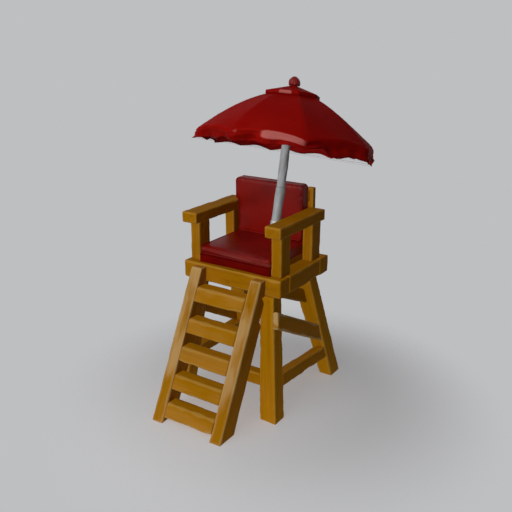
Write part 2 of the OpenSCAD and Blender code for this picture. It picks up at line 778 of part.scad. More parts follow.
// Ball on a short neck that stands on the pole through the vent cap, hollowed to sit on the cap
module umbrella_ball() color(cloth) {
    seat_h = ball_r * 1.3;
    cap_slope = cap_rise / (cap_r - cap_inner_r);
    on_pole(rim_len) {
        translate([0, 0, pole_end_z])
            cylinder(h = cap_top_z - pole_end_z + ball_r * 0.4, r = ball_neck_r, $fn = 48);
        difference() {
            translate([0, 0, cap_top_z + ball_r * ball_up]) sphere(ball_r, $fn = 48);
            translate([0, 0, cap_top_z + soft_gap - seat_h])
                cylinder(h = seat_h, r1 = cap_inner_r + seat_h / cap_slope, r2 = cap_inner_r, $fn = 96);
        }
    }
}

translate(-origin) leg_front_left();
translate(-origin) leg_front_right();
translate(-origin) leg_back_left();
translate(-origin) leg_back_right();
translate(-origin) deck_beam_front();
translate(-origin) deck_beam_back();
translate(-origin) deck_beam_left();
translate(-origin) deck_beam_right();
translate(-origin) stretcher_front();
translate(-origin) stretcher_left();
translate(-origin) stretcher_right();
translate(-origin) side_brace_left();
translate(-origin) side_brace_right();
translate(-origin) knee_brace_left();
translate(-origin) knee_brace_right();
translate(-origin) ladder_rail_left();
translate(-origin) ladder_rail_right();
translate(-origin) ladder_tread_1();
translate(-origin) ladder_tread_2();
translate(-origin) ladder_tread_3();
translate(-origin) ladder_tread_4();
translate(-origin) ladder_tread_5();
translate(-origin) seat_planks();
translate(-origin) arm_post_front_left();
translate(-origin) arm_post_front_right();
translate(-origin) arm_post_back_left();
translate(-origin) arm_post_back_right();
translate(-origin) armrest_left();
translate(-origin) armrest_right();
translate(-origin) back_post_left();
translate(-origin) back_post_right();
translate(-origin) back_slats();
translate(-origin) seat_bolster();
translate(-origin) seat_cushion();
translate(-origin) back_cushion();
translate(-origin) umbrella_holder();
translate(-origin) umbrella_pole_lower();
translate(-origin) umbrella_pole_upper();
translate(-origin) umbrella_runner();
translate(-origin) umbrella_crown();
translate(-origin) umbrella_ribs();
translate(-origin) umbrella_stays();
translate(-origin) umbrella_canopy();
translate(-origin) umbrella_vent_cap();
translate(-origin) umbrella_ball();
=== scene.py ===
import logging
import math
from dataclasses import dataclass, field
from enum import Enum

import bmesh
import bpy
import numpy as np
from mathutils import Euler, Matrix, Vector, noise
from mathutils.bvhtree import BVHTree


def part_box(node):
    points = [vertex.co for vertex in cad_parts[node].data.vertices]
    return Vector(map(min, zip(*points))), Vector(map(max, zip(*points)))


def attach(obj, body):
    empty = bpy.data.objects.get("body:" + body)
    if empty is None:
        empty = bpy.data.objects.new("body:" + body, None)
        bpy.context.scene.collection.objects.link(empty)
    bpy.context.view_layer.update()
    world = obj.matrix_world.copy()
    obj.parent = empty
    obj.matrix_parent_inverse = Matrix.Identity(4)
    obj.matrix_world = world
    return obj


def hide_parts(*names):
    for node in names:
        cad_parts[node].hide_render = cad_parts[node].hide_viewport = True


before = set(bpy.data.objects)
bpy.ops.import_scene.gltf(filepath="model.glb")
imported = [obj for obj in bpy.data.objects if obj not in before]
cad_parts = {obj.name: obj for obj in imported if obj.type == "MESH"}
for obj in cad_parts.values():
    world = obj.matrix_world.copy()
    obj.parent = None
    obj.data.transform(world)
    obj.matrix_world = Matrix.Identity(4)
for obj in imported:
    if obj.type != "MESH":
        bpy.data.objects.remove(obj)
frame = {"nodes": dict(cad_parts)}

ROOT = "root"
RIBS = 8
FIRST_RIB = math.radians(41)
DOME_RADIUS = 0.715
DOME_RISE = 0.395
DOME_POWER = 1.75
TOUCHING = 1e-5
log = logging.getLogger("lifeguard_chair")


# ---------------------------------------------------------------- small tools


def linear(code: str) -> tuple[float, float, float, float]:
    """Turns a written colour into the numbers that a shader takes.

    Args:
        code: Six hexadecimal digits, two each for red, green and blue.

    Returns:
        Linear red, green, blue and an alpha of 1.
    """
    parts = [int(code[i:i + 2], 16) / 255 for i in (0, 2, 4)]
    return tuple(c / 12.92 if c < 0.04045 else ((c + 0.055) / 1.055) ** 2.4 for c in parts) + (1.0,)


def link(piece: bpy.types.Object) -> bpy.types.Object:
    """Puts an object into the scene and gives it back."""
    bpy.context.scene.collection.objects.link(piece)
    return piece


def rows_of(mesh: bpy.types.Mesh, what: str) -> np.ndarray:
    """Reads one row of three numbers for each point of a mesh.

    Args:
        mesh: The mesh to read.
        what: co for the points' places, or normal for the ways they face.

    Returns:
        The rows.
    """
    rows = np.zeros(len(mesh.vertices) * 3, np.float32)
    mesh.vertices.foreach_get(what, rows)
    return rows.reshape(-1, 3).astype(float)


def coordinates(mesh: bpy.types.Mesh) -> np.ndarray:
    """Gives a mesh's points as rows of x, y and z."""
    return rows_of(mesh, "co")


def set_coordinates(mesh: bpy.types.Mesh, rows: np.ndarray) -> None:
    """Moves a mesh's points to the given rows of x, y and z."""
    mesh.vertices.foreach_set("co", rows.astype(np.float32).ravel())
    mesh.update()


def point_normals(mesh: bpy.types.Mesh) -> np.ndarray:
    """Gives the direction that each point of a mesh faces."""
    return rows_of(mesh, "normal")


def store(mesh: bpy.types.Mesh, name: str, values: np.ndarray) -> None:
    """Writes one value for each point of a mesh, as a named attribute.

    Args:
        mesh: The mesh to write on.
        name: The attribute's name, which a finish reads.
        values: One number or one row of three numbers for each point.
    """
    vector = values.ndim == 2
    layer = mesh.attributes.new(name, "FLOAT_VECTOR" if vector else "FLOAT", "POINT")
    layer.data.foreach_set("vector" if vector else "value", values.astype(np.float32).ravel())


def settled(piece: bpy.types.Object) -> bpy.types.Object:
    """Makes an object's modifiers part of its mesh and takes them off.

    Args:
        piece: An object in the scene with its modifiers live.

    Returns:
        The same object, with a plain mesh.
    """
    bpy.context.view_layer.update()
    graph = bpy.context.evaluated_depsgraph_get()
    mesh = bpy.data.meshes.new_from_object(piece.evaluated_get(graph), preserve_all_data_layers=True,
                                           depsgraph=graph)
    piece.modifiers.clear()
    piece.data = mesh
    return piece


def smooth(mesh: bpy.types.Mesh) -> None:
    """Shades every face of a mesh smoothly."""
    mesh.polygons.foreach_set("use_smooth", [True] * len(mesh.polygons))
    mesh.update()


def eased(piece: bpy.types.Object, times: int) -> None:
    """Rounds a piece off by drawing each point half-way to its neighbours.

    Args:
        piece: The piece.
        times: How often the points are drawn in.
    """
    ease = piece.modifiers.new("ease", "SMOOTH")
    ease.factor = 0.5
    ease.iterations = times
    settled(piece)


def coat(piece: bpy.types.Object, finish: bpy.types.Material) -> None:
    """Gives a whole piece one finish."""
    piece.data.materials.clear()
    piece.data.materials.append(finish)


def mounted(piece: bpy.types.Object, node: str = "") -> bpy.types.Object:
    """Puts a finished piece on the body, in the place of a CAD node where it has one.

    Args:
        piece: The finished piece.
        node: The CAD node that it stands for, if any.

    Returns:
        The same piece.
    """
    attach(piece, ROOT)
    if node:
        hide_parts(node)
    return piece


def mesh_of(shape: bmesh.types.BMesh, name: str) -> bpy.types.Mesh:
    """Writes an edited shape out as a mesh.

    Args:
        shape: The shape, which is used up.
        name: The mesh's name.

    Returns:
        The mesh.
    """
    mesh = bpy.data.meshes.new(name)
    shape.to_mesh(mesh)
    shape.free()
    return mesh


def joined(parts: list[bpy.types.Mesh], name: str) -> bpy.types.Object:
    """Makes one object of several meshes.

    Args:
        parts: The meshes, which are used up.
        name: The new object's name.

    Returns:
        The object, in the scene.
    """
    shape = bmesh.new()
    for part in parts:
        shape.from_mesh(part)
        bpy.data.meshes.remove(part)
    return link(bpy.data.objects.new(name, mesh_of(shape, name)))


def middle_of(solid: bmesh.types.BMesh) -> tuple[float, ...]:
    """Gives the mean of a solid's corners, rounded, by which solids are put in order."""
    return tuple(round(c, 4) for c in sum((v.co for v in solid.verts), Vector()) / len(solid.verts))


def solids_of(node: str) -> list[bmesh.types.BMesh]:
    """Copies a CAD node as clean solids, one for each separate lump.

    Points and faces are taken in the mesh's own order, so that each run numbers them alike.

    Args:
        node: The CAD node's name.

    Returns:
        Merged copies with flat faces joined up. The caller frees them.
    """
    whole = bmesh.new()
    whole.from_mesh(frame["nodes"][node].data)
    bmesh.ops.remove_doubles(whole, verts=whole.verts, dist=2e-5)
    bmesh.ops.recalc_face_normals(whole, faces=whole.faces)
    left = dict.fromkeys(whole.verts)
    groups = []
    while left:
        stack, group = [left.popitem()[0]], []
        while stack:
            point = stack.pop()
            group.append(point)
            for edge in point.link_edges:
                other = edge.other_vert(point)
                if other in left:
                    del left[other]
                    stack.append(other)
        groups.append(group)
    solids = []
    for group in groups:
        lump = bmesh.new()
        fresh = {point: lump.verts.new(point.co) for point in group}
        for face in dict.fromkeys(f for point in group for f in point.link_faces):
            lump.faces.new([fresh[p] for p in face.verts])
        bmesh.ops.dissolve_limit(lump, angle_limit=math.radians(1), verts=lump.verts, edges=lump.edges)
        bmesh.ops.recalc_face_normals(lump, faces=lump.faces)
        lump.normal_update()
        solids.append(lump)
    whole.free()
    return sorted(solids, key=middle_of)


def remeshed(mesh: bpy.types.Mesh, voxel: float) -> bpy.types.Mesh:
    """Gives a mesh an even skin of small faces.

    Args:
        mesh: A closed mesh.
        voxel: The size of the new faces in metres.

    Returns:
        The new mesh.
    """
    holder = link(bpy.data.objects.new("holder", mesh))
    step = holder.modifiers.new("even skin", "REMESH")
    step.mode = "VOXEL"
    step.voxel_size = voxel
    step.adaptivity = 0
    step.use_smooth_shade = True
    result = settled(holder).data
    bpy.data.objects.remove(holder)
    return result


def long_axes(rows: np.ndarray) -> np.ndarray:
    """Finds the directions in which a lump is longest, middling and shortest.

    Args:
        rows: The lump's points.

    Returns:
        Three rows, one direction each, longest first.
    """
    _, axes = np.linalg.eigh(np.cov((rows - rows.mean(0)).T))
    axes = axes.T[::-1]
    return np.array([a if a[np.abs(a).argmax()] > 0 else -a for a in axes])


class Number:
    """A number in a node tree, written with ordinary arithmetic."""

    def __init__(self, tree: bpy.types.NodeTree, socket: bpy.types.NodeSocket) -> None:
        """Wraps an output socket of the tree."""
        self.tree = tree
        self.socket = socket

    def does(self, operation: str, *others: "Number | float") -> "Number":
        """Adds one arithmetic node.

        Args:
            operation: Blender's name for the operation.
            others: The further numbers that it takes.

        Returns:
            The result.
        """
        node = self.tree.nodes.new("ShaderNodeMath")
        node.operation = operation
        for slot, value in zip(node.inputs, (self,) + others):
            plug(slot, value)
        return Number(self.tree, node.outputs[0])

    def __add__(self, other: "Number | float") -> "Number":
        """Adds a number."""
        return self.does("ADD", other)

    def __radd__(self, other: float) -> "Number":
        """Adds this to a plain number."""
        return self.does("ADD", other)

    def __sub__(self, other: "Number | float") -> "Number":
        """Takes a number away."""
        return self.does("SUBTRACT", other)

    def __rsub__(self, other: float) -> "Number":
        """Takes this away from a plain number."""
        return self.does("MULTIPLY_ADD", -1.0, other)

    def __mul__(self, other: "Number | float") -> "Number":
        """Multiplies by a number."""
        return self.does("MULTIPLY", other)

    def __rmul__(self, other: float) -> "Number":
        """Multiplies a plain number by this."""
        return self.does("MULTIPLY", other)

    def __truediv__(self, other: "Number | float") -> "Number":
        """Divides by a number."""
        return self.does("DIVIDE", other)

    def to(self, power: float) -> "Number":
        """Raises to a power."""
        return self.does("POWER", power)

    def sine(self) -> "Number":
        """Gives the sine of an angle in radians."""
        return self.does("SINE")

    def cosine(self) -> "Number":
        """Gives the cosine of an angle in radians."""
        return self.does("COSINE")


def plug(slot: bpy.types.NodeSocket, value: object) -> None:
    """Sets one input of a node.

    Args:
        slot: The input.
        value: A number in the tree, a socket to link from, or a plain value.
    """
    value = value.socket if isinstance(value, Number) else value
    if isinstance(value, bpy.types.NodeSocket):
        slot.id_data.links.new(value, slot)
    else:
        slot.default_value = value


class Tree:
    """A node tree to which nodes are added by name."""

    tree: bpy.types.NodeTree

    def node(self, kind: str, settings: dict[str, object] | None = None, **values: object) -> bpy.types.Node:
        """Adds one node.

        Args:
            kind: The node's type.
            settings: Its own settings by name.
            values: Its inputs by name, with _ for a space: a number, a plain value or a socket.

        Returns:
            The node.
        """
        made = self.tree.nodes.new(kind)
        for key, value in (settings or {}).items():
            setattr(made, key, value)
        for key, value in values.items():
            plug(made.inputs[key.replace("_", " ")], value)
        return made

    def number(self, kind: str, **values: object) -> Number:
        """Adds one node and gives its first output as a number."""
        return Number(self.tree, self.node(kind, None, **values).outputs[0])


class Rule(Tree):
    """A Geometry Nodes tree with named sizes that turns into one plain piece."""

    def __init__(self, name: str, takes_shape: bool = False) -> None:
        """Starts an empty tree.

        Args:
            name: The tree's name.
            takes_shape: Whether the tree works on a shape that is handed to it.
        """
        self.tree = bpy.data.node_groups.new(name, "GeometryNodeTree")
        face = self.tree.interface
        face.new_socket("Shape", in_out="OUTPUT", socket_type="NodeSocketGeometry")
        if takes_shape:
            face.new_socket("Shape", in_out="INPUT", socket_type="NodeSocketGeometry")
        self.start = self.tree.nodes.new("NodeGroupInput")
        self.values: dict[str, float] = {}

    def entry(self, name: str, value: float | int, kind: str) -> bpy.types.NodeSocket:
        """Adds a named input to the tree.

        Args:
            name: The input's name.
            value: What it is set to.
            kind: Blender's name for its type.

        Returns:
            The input's socket inside the tree.
        """
        socket = self.tree.interface.new_socket(name, in_out="INPUT", socket_type=kind)
        socket.default_value = value
        self.values[socket.identifier] = value
        return self.start.outputs[name]

    def sizes(self, **values: float) -> list[Number]:
        """Adds named sizes, with _ for a space, and gives them back as numbers in that order."""
        return [Number(self.tree, self.entry(name.replace("_", " "), value, "NodeSocketFloat"))
                for name, value in values.items()]

    def tube(self, line: bpy.types.NodeSocket, radius: Number, corners: int) -> bpy.types.NodeSocket:
        """Makes a closed rod along a line.

        Args:
            line: The socket of a mesh of loose edges.
            radius: The rod's radius.
            corners: How many corners its section has.

        Returns:
            The socket of the rod.
        """
        curve = self.node("GeometryNodeMeshToCurve", Mesh=line)
        ring = self.node("GeometryNodeCurvePrimitiveCircle", Resolution=corners, Radius=radius)
        rod = self.node("GeometryNodeCurveToMesh", Curve=curve.outputs[0], Profile_Curve=ring.outputs[0],
                        Fill_Caps=True)
        return rod.outputs[0]

    def point(self, x: Number | float, y: Number | float, z: Number | float) -> bpy.types.NodeSocket:
        """Makes a place or direction of three numbers."""
        return self.node("ShaderNodeCombineXYZ", X=x, Y=y, Z=z).outputs[0]

    def piece(self, name: str, shape: bpy.types.NodeSocket, finish: bpy.types.Material,
              work: bpy.types.Mesh | None = None) -> bpy.types.Object:
        """Ends the tree, runs it and keeps its result as a plain mesh.

        Args:
            name: The new object's name.
            shape: The socket that carries the finished shape.
            finish: The material of the whole piece.
            work: The shape handed to the tree, if it takes one.

        Returns:
            The object, in the scene, with no modifier left on it.
        """
        real = self.node("GeometryNodeRealizeInstances", Geometry=shape)
        dressed = self.node("GeometryNodeSetMaterial", Geometry=real.outputs[0], Material=finish)
        end = self.tree.nodes.new("NodeGroupOutput")
        self.tree.links.new(dressed.outputs[0], end.inputs[0])
        made = link(bpy.data.objects.new(name, work or bpy.data.meshes.new(name)))
        step = made.modifiers.new("rule", "NODES")
        step.node_group = self.tree
        for key, value in self.values.items():
            step[key] = value
        settled(made)
        bpy.data.node_groups.remove(self.tree)
        return made


# ------------------------------------------------------------------- finishes


class Paints(Tree):
    """A material's node tree, to which a finish adds its patterns."""

    def __init__(self, name: str) -> None:
        """Starts a material with its main shader and nothing else.

        Args:
            name: The material's name.
        """
        self.material = bpy.data.materials.new(name)
        self.material.use_nodes = True
        self.tree = self.material.node_tree
        self.shader = self.tree.nodes["Principled BSDF"]

    def stretched(self, source: bpy.types.NodeSocket,
                  scale: tuple[float, float, float]) -> bpy.types.NodeSocket:
        """Stretches a pattern's coordinates.

        Args:
            source: The coordinates' socket.
            scale: One factor for each direction.

        Returns:
            The stretched coordinates' socket.
        """
        node = self.node("ShaderNodeVectorMath", {"operation": "MULTIPLY"})
        plug(node.inputs[0], source)
        plug(node.inputs[1], scale)
        return node.outputs[0]

    def cloudy(self, where: bpy.types.NodeSocket, scale: float, detail: float = 3.0,
               roughness: float = 0.5) -> Number:
        """Adds a soft random pattern and gives it as a number from 0 to 1."""
        return self.number("ShaderNodeTexNoise", Vector=where, Scale=scale, Detail=detail,
                           Roughness=roughness)

    def between(self, value: Number, low: float, high: float) -> Number:
        """Rescales a number so that low gives 0 and high gives 1, and no more.

        Args:
            value: The number.
            low: What becomes 0.
            high: What becomes 1.

        Returns:
            The share, from 0 to 1, with soft ends.
        """
        node = self.node("ShaderNodeMapRange", {"interpolation_type": "SMOOTHSTEP"}, Value=value,
                         From_Min=low, From_Max=high)
        return Number(self.tree, node.outputs[0])

    def blend(self, share: Number, first: object, second: object) -> bpy.types.NodeSocket:
        """Mixes two colours.

        Args:
            share: How much of the second colour shows, from 0 to 1.
            first: A colour or the socket of one.
            second: A colour or the socket of one.

        Returns:
            The mixed colour's socket.
        """
        node = self.node("ShaderNodeMix", {"data_type": "RGBA"})
        for slot, value in ((0, share), (6, first), (7, second)):
            plug(node.inputs[slot], value)
        return node.outputs[2]

    def attribute(self, name: str, output: str) -> bpy.types.NodeSocket:
        """Reads a named attribute of the mesh."""
        return self.node("ShaderNodeAttribute", {"attribute_name": name}).outputs[output]

    def mark(self, name: str) -> Number:
        """Reads a named attribute of the mesh that is one number a point."""
        return Number(self.tree, self.attribute(name, "Fac"))

    def place(self) -> bpy.types.NodeSocket:
        """Gives the point's own place on the object."""
        return self.node("ShaderNodeTexCoord").outputs["Object"]

    def raise_by(self, height: Number, distance: float, strength: float = 1.0) -> None:
        """Raises the surface by a pattern.

        Args:
            height: The pattern, from 0 to 1.
            distance: How far 1 stands above 0, in metres.
            strength: How much of it shows.
        """
        bump = self.node("ShaderNodeBump", Height=height, Distance=distance, Strength=strength)
        plug(self.shader.inputs["Normal"], bump.outputs[0])

    def set(self, **values: object) -> bpy.types.Material:
        """Sets the main shader's inputs and gives the material.

        Args:
            values: Its inputs by name, with _ for a space: a plain value, a number or a socket.

        Returns:
            The finished material.
        """
        for key, value in values.items():
            plug(self.shader.inputs[key.replace("_", " ")], value)
        return self.material


@dataclass(frozen=True)
class StainedWood:
    """Hewn softwood with a golden stain, rubbed paler on its edges, and with painted highlights as pale
    patches on faces that turn to the front.
    """

    name: str = "stained wood"
    stain: str = "a06c02"
    deep: str = "7e4e02"
    warm: str = "a86c03"
    bare_and_highlight: str = "b88a38"
    rings: float = 26.0
    rub_and_sheen_patches: float = 0.12
    smudge: str = "5c3a02"
    foot: float = 0.0
    worn: float = 0.5

    def material(self) -> bpy.types.Material:
        """Makes the finish, which reads the attributes grain, wear, front and tone; pale patches on front
        faces are painted highlights.

        Returns:
            The material.
        """
        p = Paints(self.name)
        grain = p.attribute("grain", "Vector")
        bend = p.node("ShaderNodeTexNoise", Vector=p.stretched(grain, (1.3, 6, 6)), Scale=1.0, Detail=2.0)
        bent = p.node("ShaderNodeVectorMath", {"operation": "MULTIPLY_ADD"})
        for slot, value in zip(bent.inputs, (bend.outputs["Color"], (0.0, 0.03, 0.03), grain)):
            plug(slot, value)
        wave = p.node("ShaderNodeTexWave", {"wave_type": "RINGS", "rings_direction": "X",
                                            "wave_profile": "SAW"},
                      Vector=p.stretched(bent.outputs[0], (0.1, 1, 1)), Scale=self.rings,
                      Distortion=1.2, Detail=2.0, Detail_Scale=1.5)
        rings = Number(p.tree, wave.outputs["Fac"])
        fibres = p.cloudy(p.stretched(grain, (5, 210, 210)), 1.0, 4.0, 0.6)
        streaks = p.cloudy(p.stretched(grain, (1.6, 34, 34)), 1.0, 3.0)
        patches = p.cloudy(p.stretched(grain, (2.2, 7, 7)), 1.0, 3.0)
        smudges = p.cloudy(p.stretched(grain, (6, 16, 16)), 1.0, 4.0, 0.65)
        colour = p.blend(p.between(patches, 0.35, 0.7), linear(self.stain), linear(self.warm))
        colour = p.blend(p.between(streaks, 0.45, 0.75) * 0.45, colour, linear(self.deep))
        colour = p.blend(rings.to(3.0) * 0.22, colour, linear(self.deep))
        colour = p.blend(p.between(fibres, 0.5, 0.8) * 0.3, colour, linear(self.deep))
        colour = p.blend(p.between(smudges, 0.64, 0.78) * 0.45, colour, linear(self.smudge))
        height = Number(p.tree, p.node("ShaderNodeSeparateXYZ", Vector=p.place()).outputs[2])
        # Painted highlight with rubbing: pale patches on faces that turn to the front, fading towards the
        # ground by foot. Edges wear bare.
        high = p.between(height + patches * 0.4, 0.33, 0.72) * self.foot + (1 - self.foot)
        high = high * (p.mark("front") * 0.85 + 0.15)
        rub_and_sheen = p.between(patches * 0.75 + streaks * 0.25, 0.42, 0.60) * self.rub_and_sheen_patches * high
        rub_and_sheen = rub_and_sheen + p.between(p.mark("wear") + smudges * 0.5, 0.75, 1.25) * self.worn
        colour = p.blend(rub_and_sheen.does("MINIMUM", 1.0), colour, linear(self.bare_and_highlight))
        colour = p.blend(p.mark("tone"), colour, linear(self.deep))
        p.raise_by(fibres * 0.35 + rings * 0.2 + smudges * 0.6, 0.0022, 0.55)
        return p.set(Base_Color=colour, Roughness=fibres * 0.2 + smudges * 0.15 + 0.36,
                     Specular_IOR_Level=0.02)


@dataclass(frozen=True)
class Vinyl:
    """Smooth dark red seat vinyl with a fine pebbled grain."""

    name: str = "red vinyl"
    colour: str = "7e0b03"
    dark: str = "5c0502"
    scuffed: str = "8e1e12"
    sheen: float = 0.17
    rub_and_sheen: str = "b05850"

    def material(self) -> bpy.types.Material:
        """Makes the finish on the object's own coordinates, with the attribute rubbed, which paints a pale
        highlight along a rolled edge.

        Returns:
            The material.
        """
        p = Paints(self.name)
        where = p.place()
        broad = p.cloudy(where, 5.0, 3.0)
        pebble = p.node("ShaderNodeTexVoronoi", {"feature": "F1"}, Vector=where, Scale=420.0)
        scuffs = p.cloudy(p.stretched(where, (9, 22, 22)), 1.0, 6.0, 0.7)
        creases = p.cloudy(where, 34.0, 5.0, 0.6)
        colour = p.blend(p.between(broad, 0.35, 0.7) * 0.6, linear(self.colour), linear(self.dark))
        colour = p.blend(p.between(scuffs, 0.58, 0.74) * 0.4, colour, linear(self.scuffed))
        # The rubbed mark paints a pale highlight, a stripe along a pad's rolled front edge.
        rub_and_sheen = p.mark("rub_and_sheen") * p.between(scuffs * 0.5 + broad * 0.5, 0.35, 0.5)
        colour = p.blend(rub_and_sheen * 0.55, colour, linear(self.rub_and_sheen))
        height = Number(p.tree, pebble.outputs["Distance"]) * 0.25 + creases * 0.6
        p.raise_by(height, 0.0011, 0.5)
        return p.set(Base_Color=colour, Roughness=scuffs * 0.22 + 0.30, Specular_IOR_Level=self.sheen)


@dataclass(frozen=True)
class Canvas:
    """Red umbrella cloth with a plain weave, faded a little, with painted shade along its hem and painted
    highlights in pale patches.
    """

    name: str = "red canvas"
    colour: str = "8c0401"
    faded: str = "920a03"
    shade: str = "660301"
    painted_highlight: str = "b4605a"
    threads: float = 620.0

    def material(self) -> bpy.types.Material:
        """Makes the finish, which reads the attributes cloth (place on the sheet), hem (painted shade) and
        bleached (painted highlights).

        Returns:
            The material.
        """
        p = Paints(self.name)
        where = p.place()
        cloth = p.attribute("cloth", "Vector")
        split = p.node("ShaderNodeSeparateXYZ", Vector=cloth)
        warp = (Number(p.tree, split.outputs[0]) * self.threads).sine()
        weft = (Number(p.tree, split.outputs[1]) * self.threads).sine()
        weave = warp * weft * 0.5 + 0.5
        slubs = p.cloudy(p.stretched(cloth, (20, 190, 1)), 1.0, 3.0)
        broad = p.cloudy(where, 3.2, 3.0)
        marks = p.cloudy(where, 16.0, 5.0, 0.65)
        colour = p.blend(p.between(broad, 0.35, 0.68), linear(self.colour), linear(self.faded))
        colour = p.blend(p.between(marks, 0.56, 0.74) * 0.35, colour, linear(self.shade))
        colour = p.blend(weave * 0.12 + slubs * 0.14, colour, linear(self.shade))
        # Painted shade: the valance is darkened in patches along the hem.
        colour = p.blend(p.mark("hem") * p.between(marks, 0.34, 0.66) * 0.75, colour, linear(self.shade))
        # Painted highlights: pale patches where the sheet is marked bleached, on the valance and cap that
        # turn up to the lamps.
        pale = p.mark("painted_highlight") * 1.3 + broad * 0.6 + marks * 0.6 - 0.85
        colour = p.blend(p.between(pale, 0.1, 0.6) * 0.95, colour, linear(self.painted_highlight))
        p.raise_by(weave * 0.5 + slubs * 0.4 + marks * 0.8, 0.0009, 0.6)
        return p.set(Base_Color=colour, Roughness=slubs * 0.15 + 0.55, Specular_IOR_Level=0.03)


@dataclass(frozen=True)
class PoleEnamel:
    """Thick pale grey enamel brushed over a rough pole, chipped and dirty in its hollows."""

    name: str = "pale enamel"
    colour: str = "a6a9aa"
    grey: str = "85898b"
    chip: str = "5c5e60"

    def material(self) -> bpy.types.Material:
        """Makes the finish on the object's own coordinates.

        Returns:
            The material.
        """
        p = Paints(self.name)
        where = p.place()
        broad = p.cloudy(p.stretched(where, (22, 22, 5)), 1.0, 3.0)
        streaks = p.cloudy(p.stretched(where, (90, 90, 9)), 1.0, 4.0, 0.6)
        chips = p.cloudy(where, 60.0, 5.0, 0.7)
        colour = p.blend(p.between(broad, 0.38, 0.68) * 0.6, linear(self.colour), linear(self.grey))
        colour = p.blend(p.between(streaks, 0.5, 0.75) * 0.35, colour, linear(self.grey))
        colour = p.blend(p.between(chips, 0.64, 0.72) * 0.6, colour, linear(self.chip))
        p.raise_by(broad * 0.6 + streaks * 0.3 + chips * 0.25, 0.004, 0.6)
        return p.set(Base_Color=colour, Roughness=streaks * 0.25 + 0.36, Specular_IOR_Level=0.3)


@dataclass(frozen=True)
class Steel:
    """Brushed steel with a dull zinc bloom."""

    name: str = "brushed steel"
    colour: str = "5e5f5e"
    dull: str = "474949"

    def material(self) -> bpy.types.Material:
        """Makes the finish on the object's own coordinates.

        Returns:
            The material.
        """
        p = Paints(self.name)
        where = p.place()
        brush = p.cloudy(p.stretched(where, (60, 60, 900)), 1.0, 3.0)
        bloom = p.cloudy(where, 30.0, 4.0, 0.6)
        colour = p.blend(p.between(bloom, 0.4, 0.7), linear(self.colour), linear(self.dull))
        p.raise_by(brush, 0.0003, 0.5)
        return p.set(Base_Color=colour, Roughness=brush * 0.15 + bloom * 0.2 + 0.45, Metallic=0.4)


@dataclass(frozen=True)
class BallPaint:
    """Glossy red paint over a lumpy ball."""

    name: str = "ball paint"
    colour: str = "780604"
    worn: str = "a8504a"

    def material(self) -> bpy.types.Material:
        """Makes the finish on the object's own coordinates.

        Returns:
            The material.
        """
        p = Paints(self.name)
        where = p.place()
        broad = p.cloudy(where, 26.0, 3.0)
        fine = p.cloudy(where, 120.0, 4.0, 0.6)
        worn = p.between(broad * 0.7 + fine * 0.3, 0.5, 0.7) * 0.25
        colour = p.blend(worn, linear(self.colour), linear(self.worn))
        p.raise_by(fine * 0.4 + broad * 0.6, 0.0015, 0.5)
        return p.set(Base_Color=colour, Roughness=fine * 0.2 + 0.26, Specular_IOR_Level=0.22)


@dataclass(frozen=True)
class Thread:
    """Dark red sewing thread."""

    name: str = "thread"
    colour: str = "5a0a07"
    light: str = "7c1c16"

    def material(self) -> bpy.types.Material:
        """Makes the finish on the object's own coordinates.

        Returns:
            The material.
        """
        p = Paints(self.name)
        ply = p.cloudy(p.place(), 900.0, 2.0)
        colour = p.blend(p.between(ply, 0.4, 0.65), linear(self.colour), linear(self.light))
        p.raise_by(ply, 0.0004, 0.5)
        return p.set(Base_Color=colour, Roughness=ply * 0.2 + 0.5, Specular_IOR_Level=0.25)


# --------------------------------------------------------------------- timber


@dataclass(frozen=True)
class Hewing:
    """How roughly a timber is dressed, in metres.

    narrow and wide bound a long edge's chamfer, which changes width once in each knot_gap. Chamfers
    up to crisp wide don't wear. Where a timber comes down to grounded or lower, its underside below
    sole is cut level with the ground.
    """

    voxel: float = 0.008
    narrow: float = 0.0015
    wide: float = 0.015
    ends: float = 0.004
    knot_gap: float = 0.07
    hollow: float = 0.0024
    softening: int = 2
    raw_end: float = 0.0
    sharp: float = math.radians(25)
    crisp: float = 0.002
    worn_reach: float = 0.03
    grounded: float = 0.002
    sole: float = 0.006

    def hollowed(self, rows: np.ndarray, normals: np.ndarray, drift: Vector) -> np.ndarray:
        """Cuts shallow hollows into the faces.

        Args:
            rows: The points.
            normals: The ways that they face.
            drift: Where in the random pattern this timber lies.

        Returns:
            The points, moved.
        """
        broad, fine = 9, 23
        cut = np.array([noise.noise(Vector(r) * broad + drift) + 0.5 * noise.noise(Vector(r) * fine - drift)
                        for r in rows])
        return rows - normals * (self.hollow * np.clip(0.9 * cut - 0.2, -0.8, 1.2))[:, None]


@dataclass
class Arris:
    """A sharp outward edge of a timber, with the faces that meet on it."""

    start: np.ndarray
    end: np.ndarray
    first: np.ndarray
    second: np.ndarray
    widths: np.ndarray

    def depths(self, rows: np.ndarray) -> tuple[np.ndarray, np.ndarray, np.ndarray]:
        """Measures how points lie to the edge.

        Args:
            rows: The points.

        Returns:
            The sum of each point's depths below the two faces, the chamfer's width beside it,
            and whether it is near enough to be cut.
        """
        run = self.end - self.start
        length = np.linalg.norm(run)
        reach = rows - self.start
        along = reach @ (run / length) / length
        width = np.interp(along, np.linspace(0, 1, len(self.widths)), self.widths)
        depth = -(reach @ self.first) - (reach @ self.second)
        off = np.linalg.norm(reach - np.clip(along, 0, 1)[:, None] * run, axis=1)
        return depth, width, off < 3 * self.widths.max() + 0.03

    def chamfer(self, rows: np.ndarray) -> np.ndarray:
        """Cuts the chamfer.

        Args:
            rows: The points.

        Returns:
            The points, with those outside the chamfer moved onto it.
        """
        depth, width, near = self.depths(rows)
        way = self.first + self.second
        size = np.linalg.norm(way)
        move = np.where(near, np.maximum(width - depth, 0), 0) / size
        return rows - move[:, None] * (way / size)


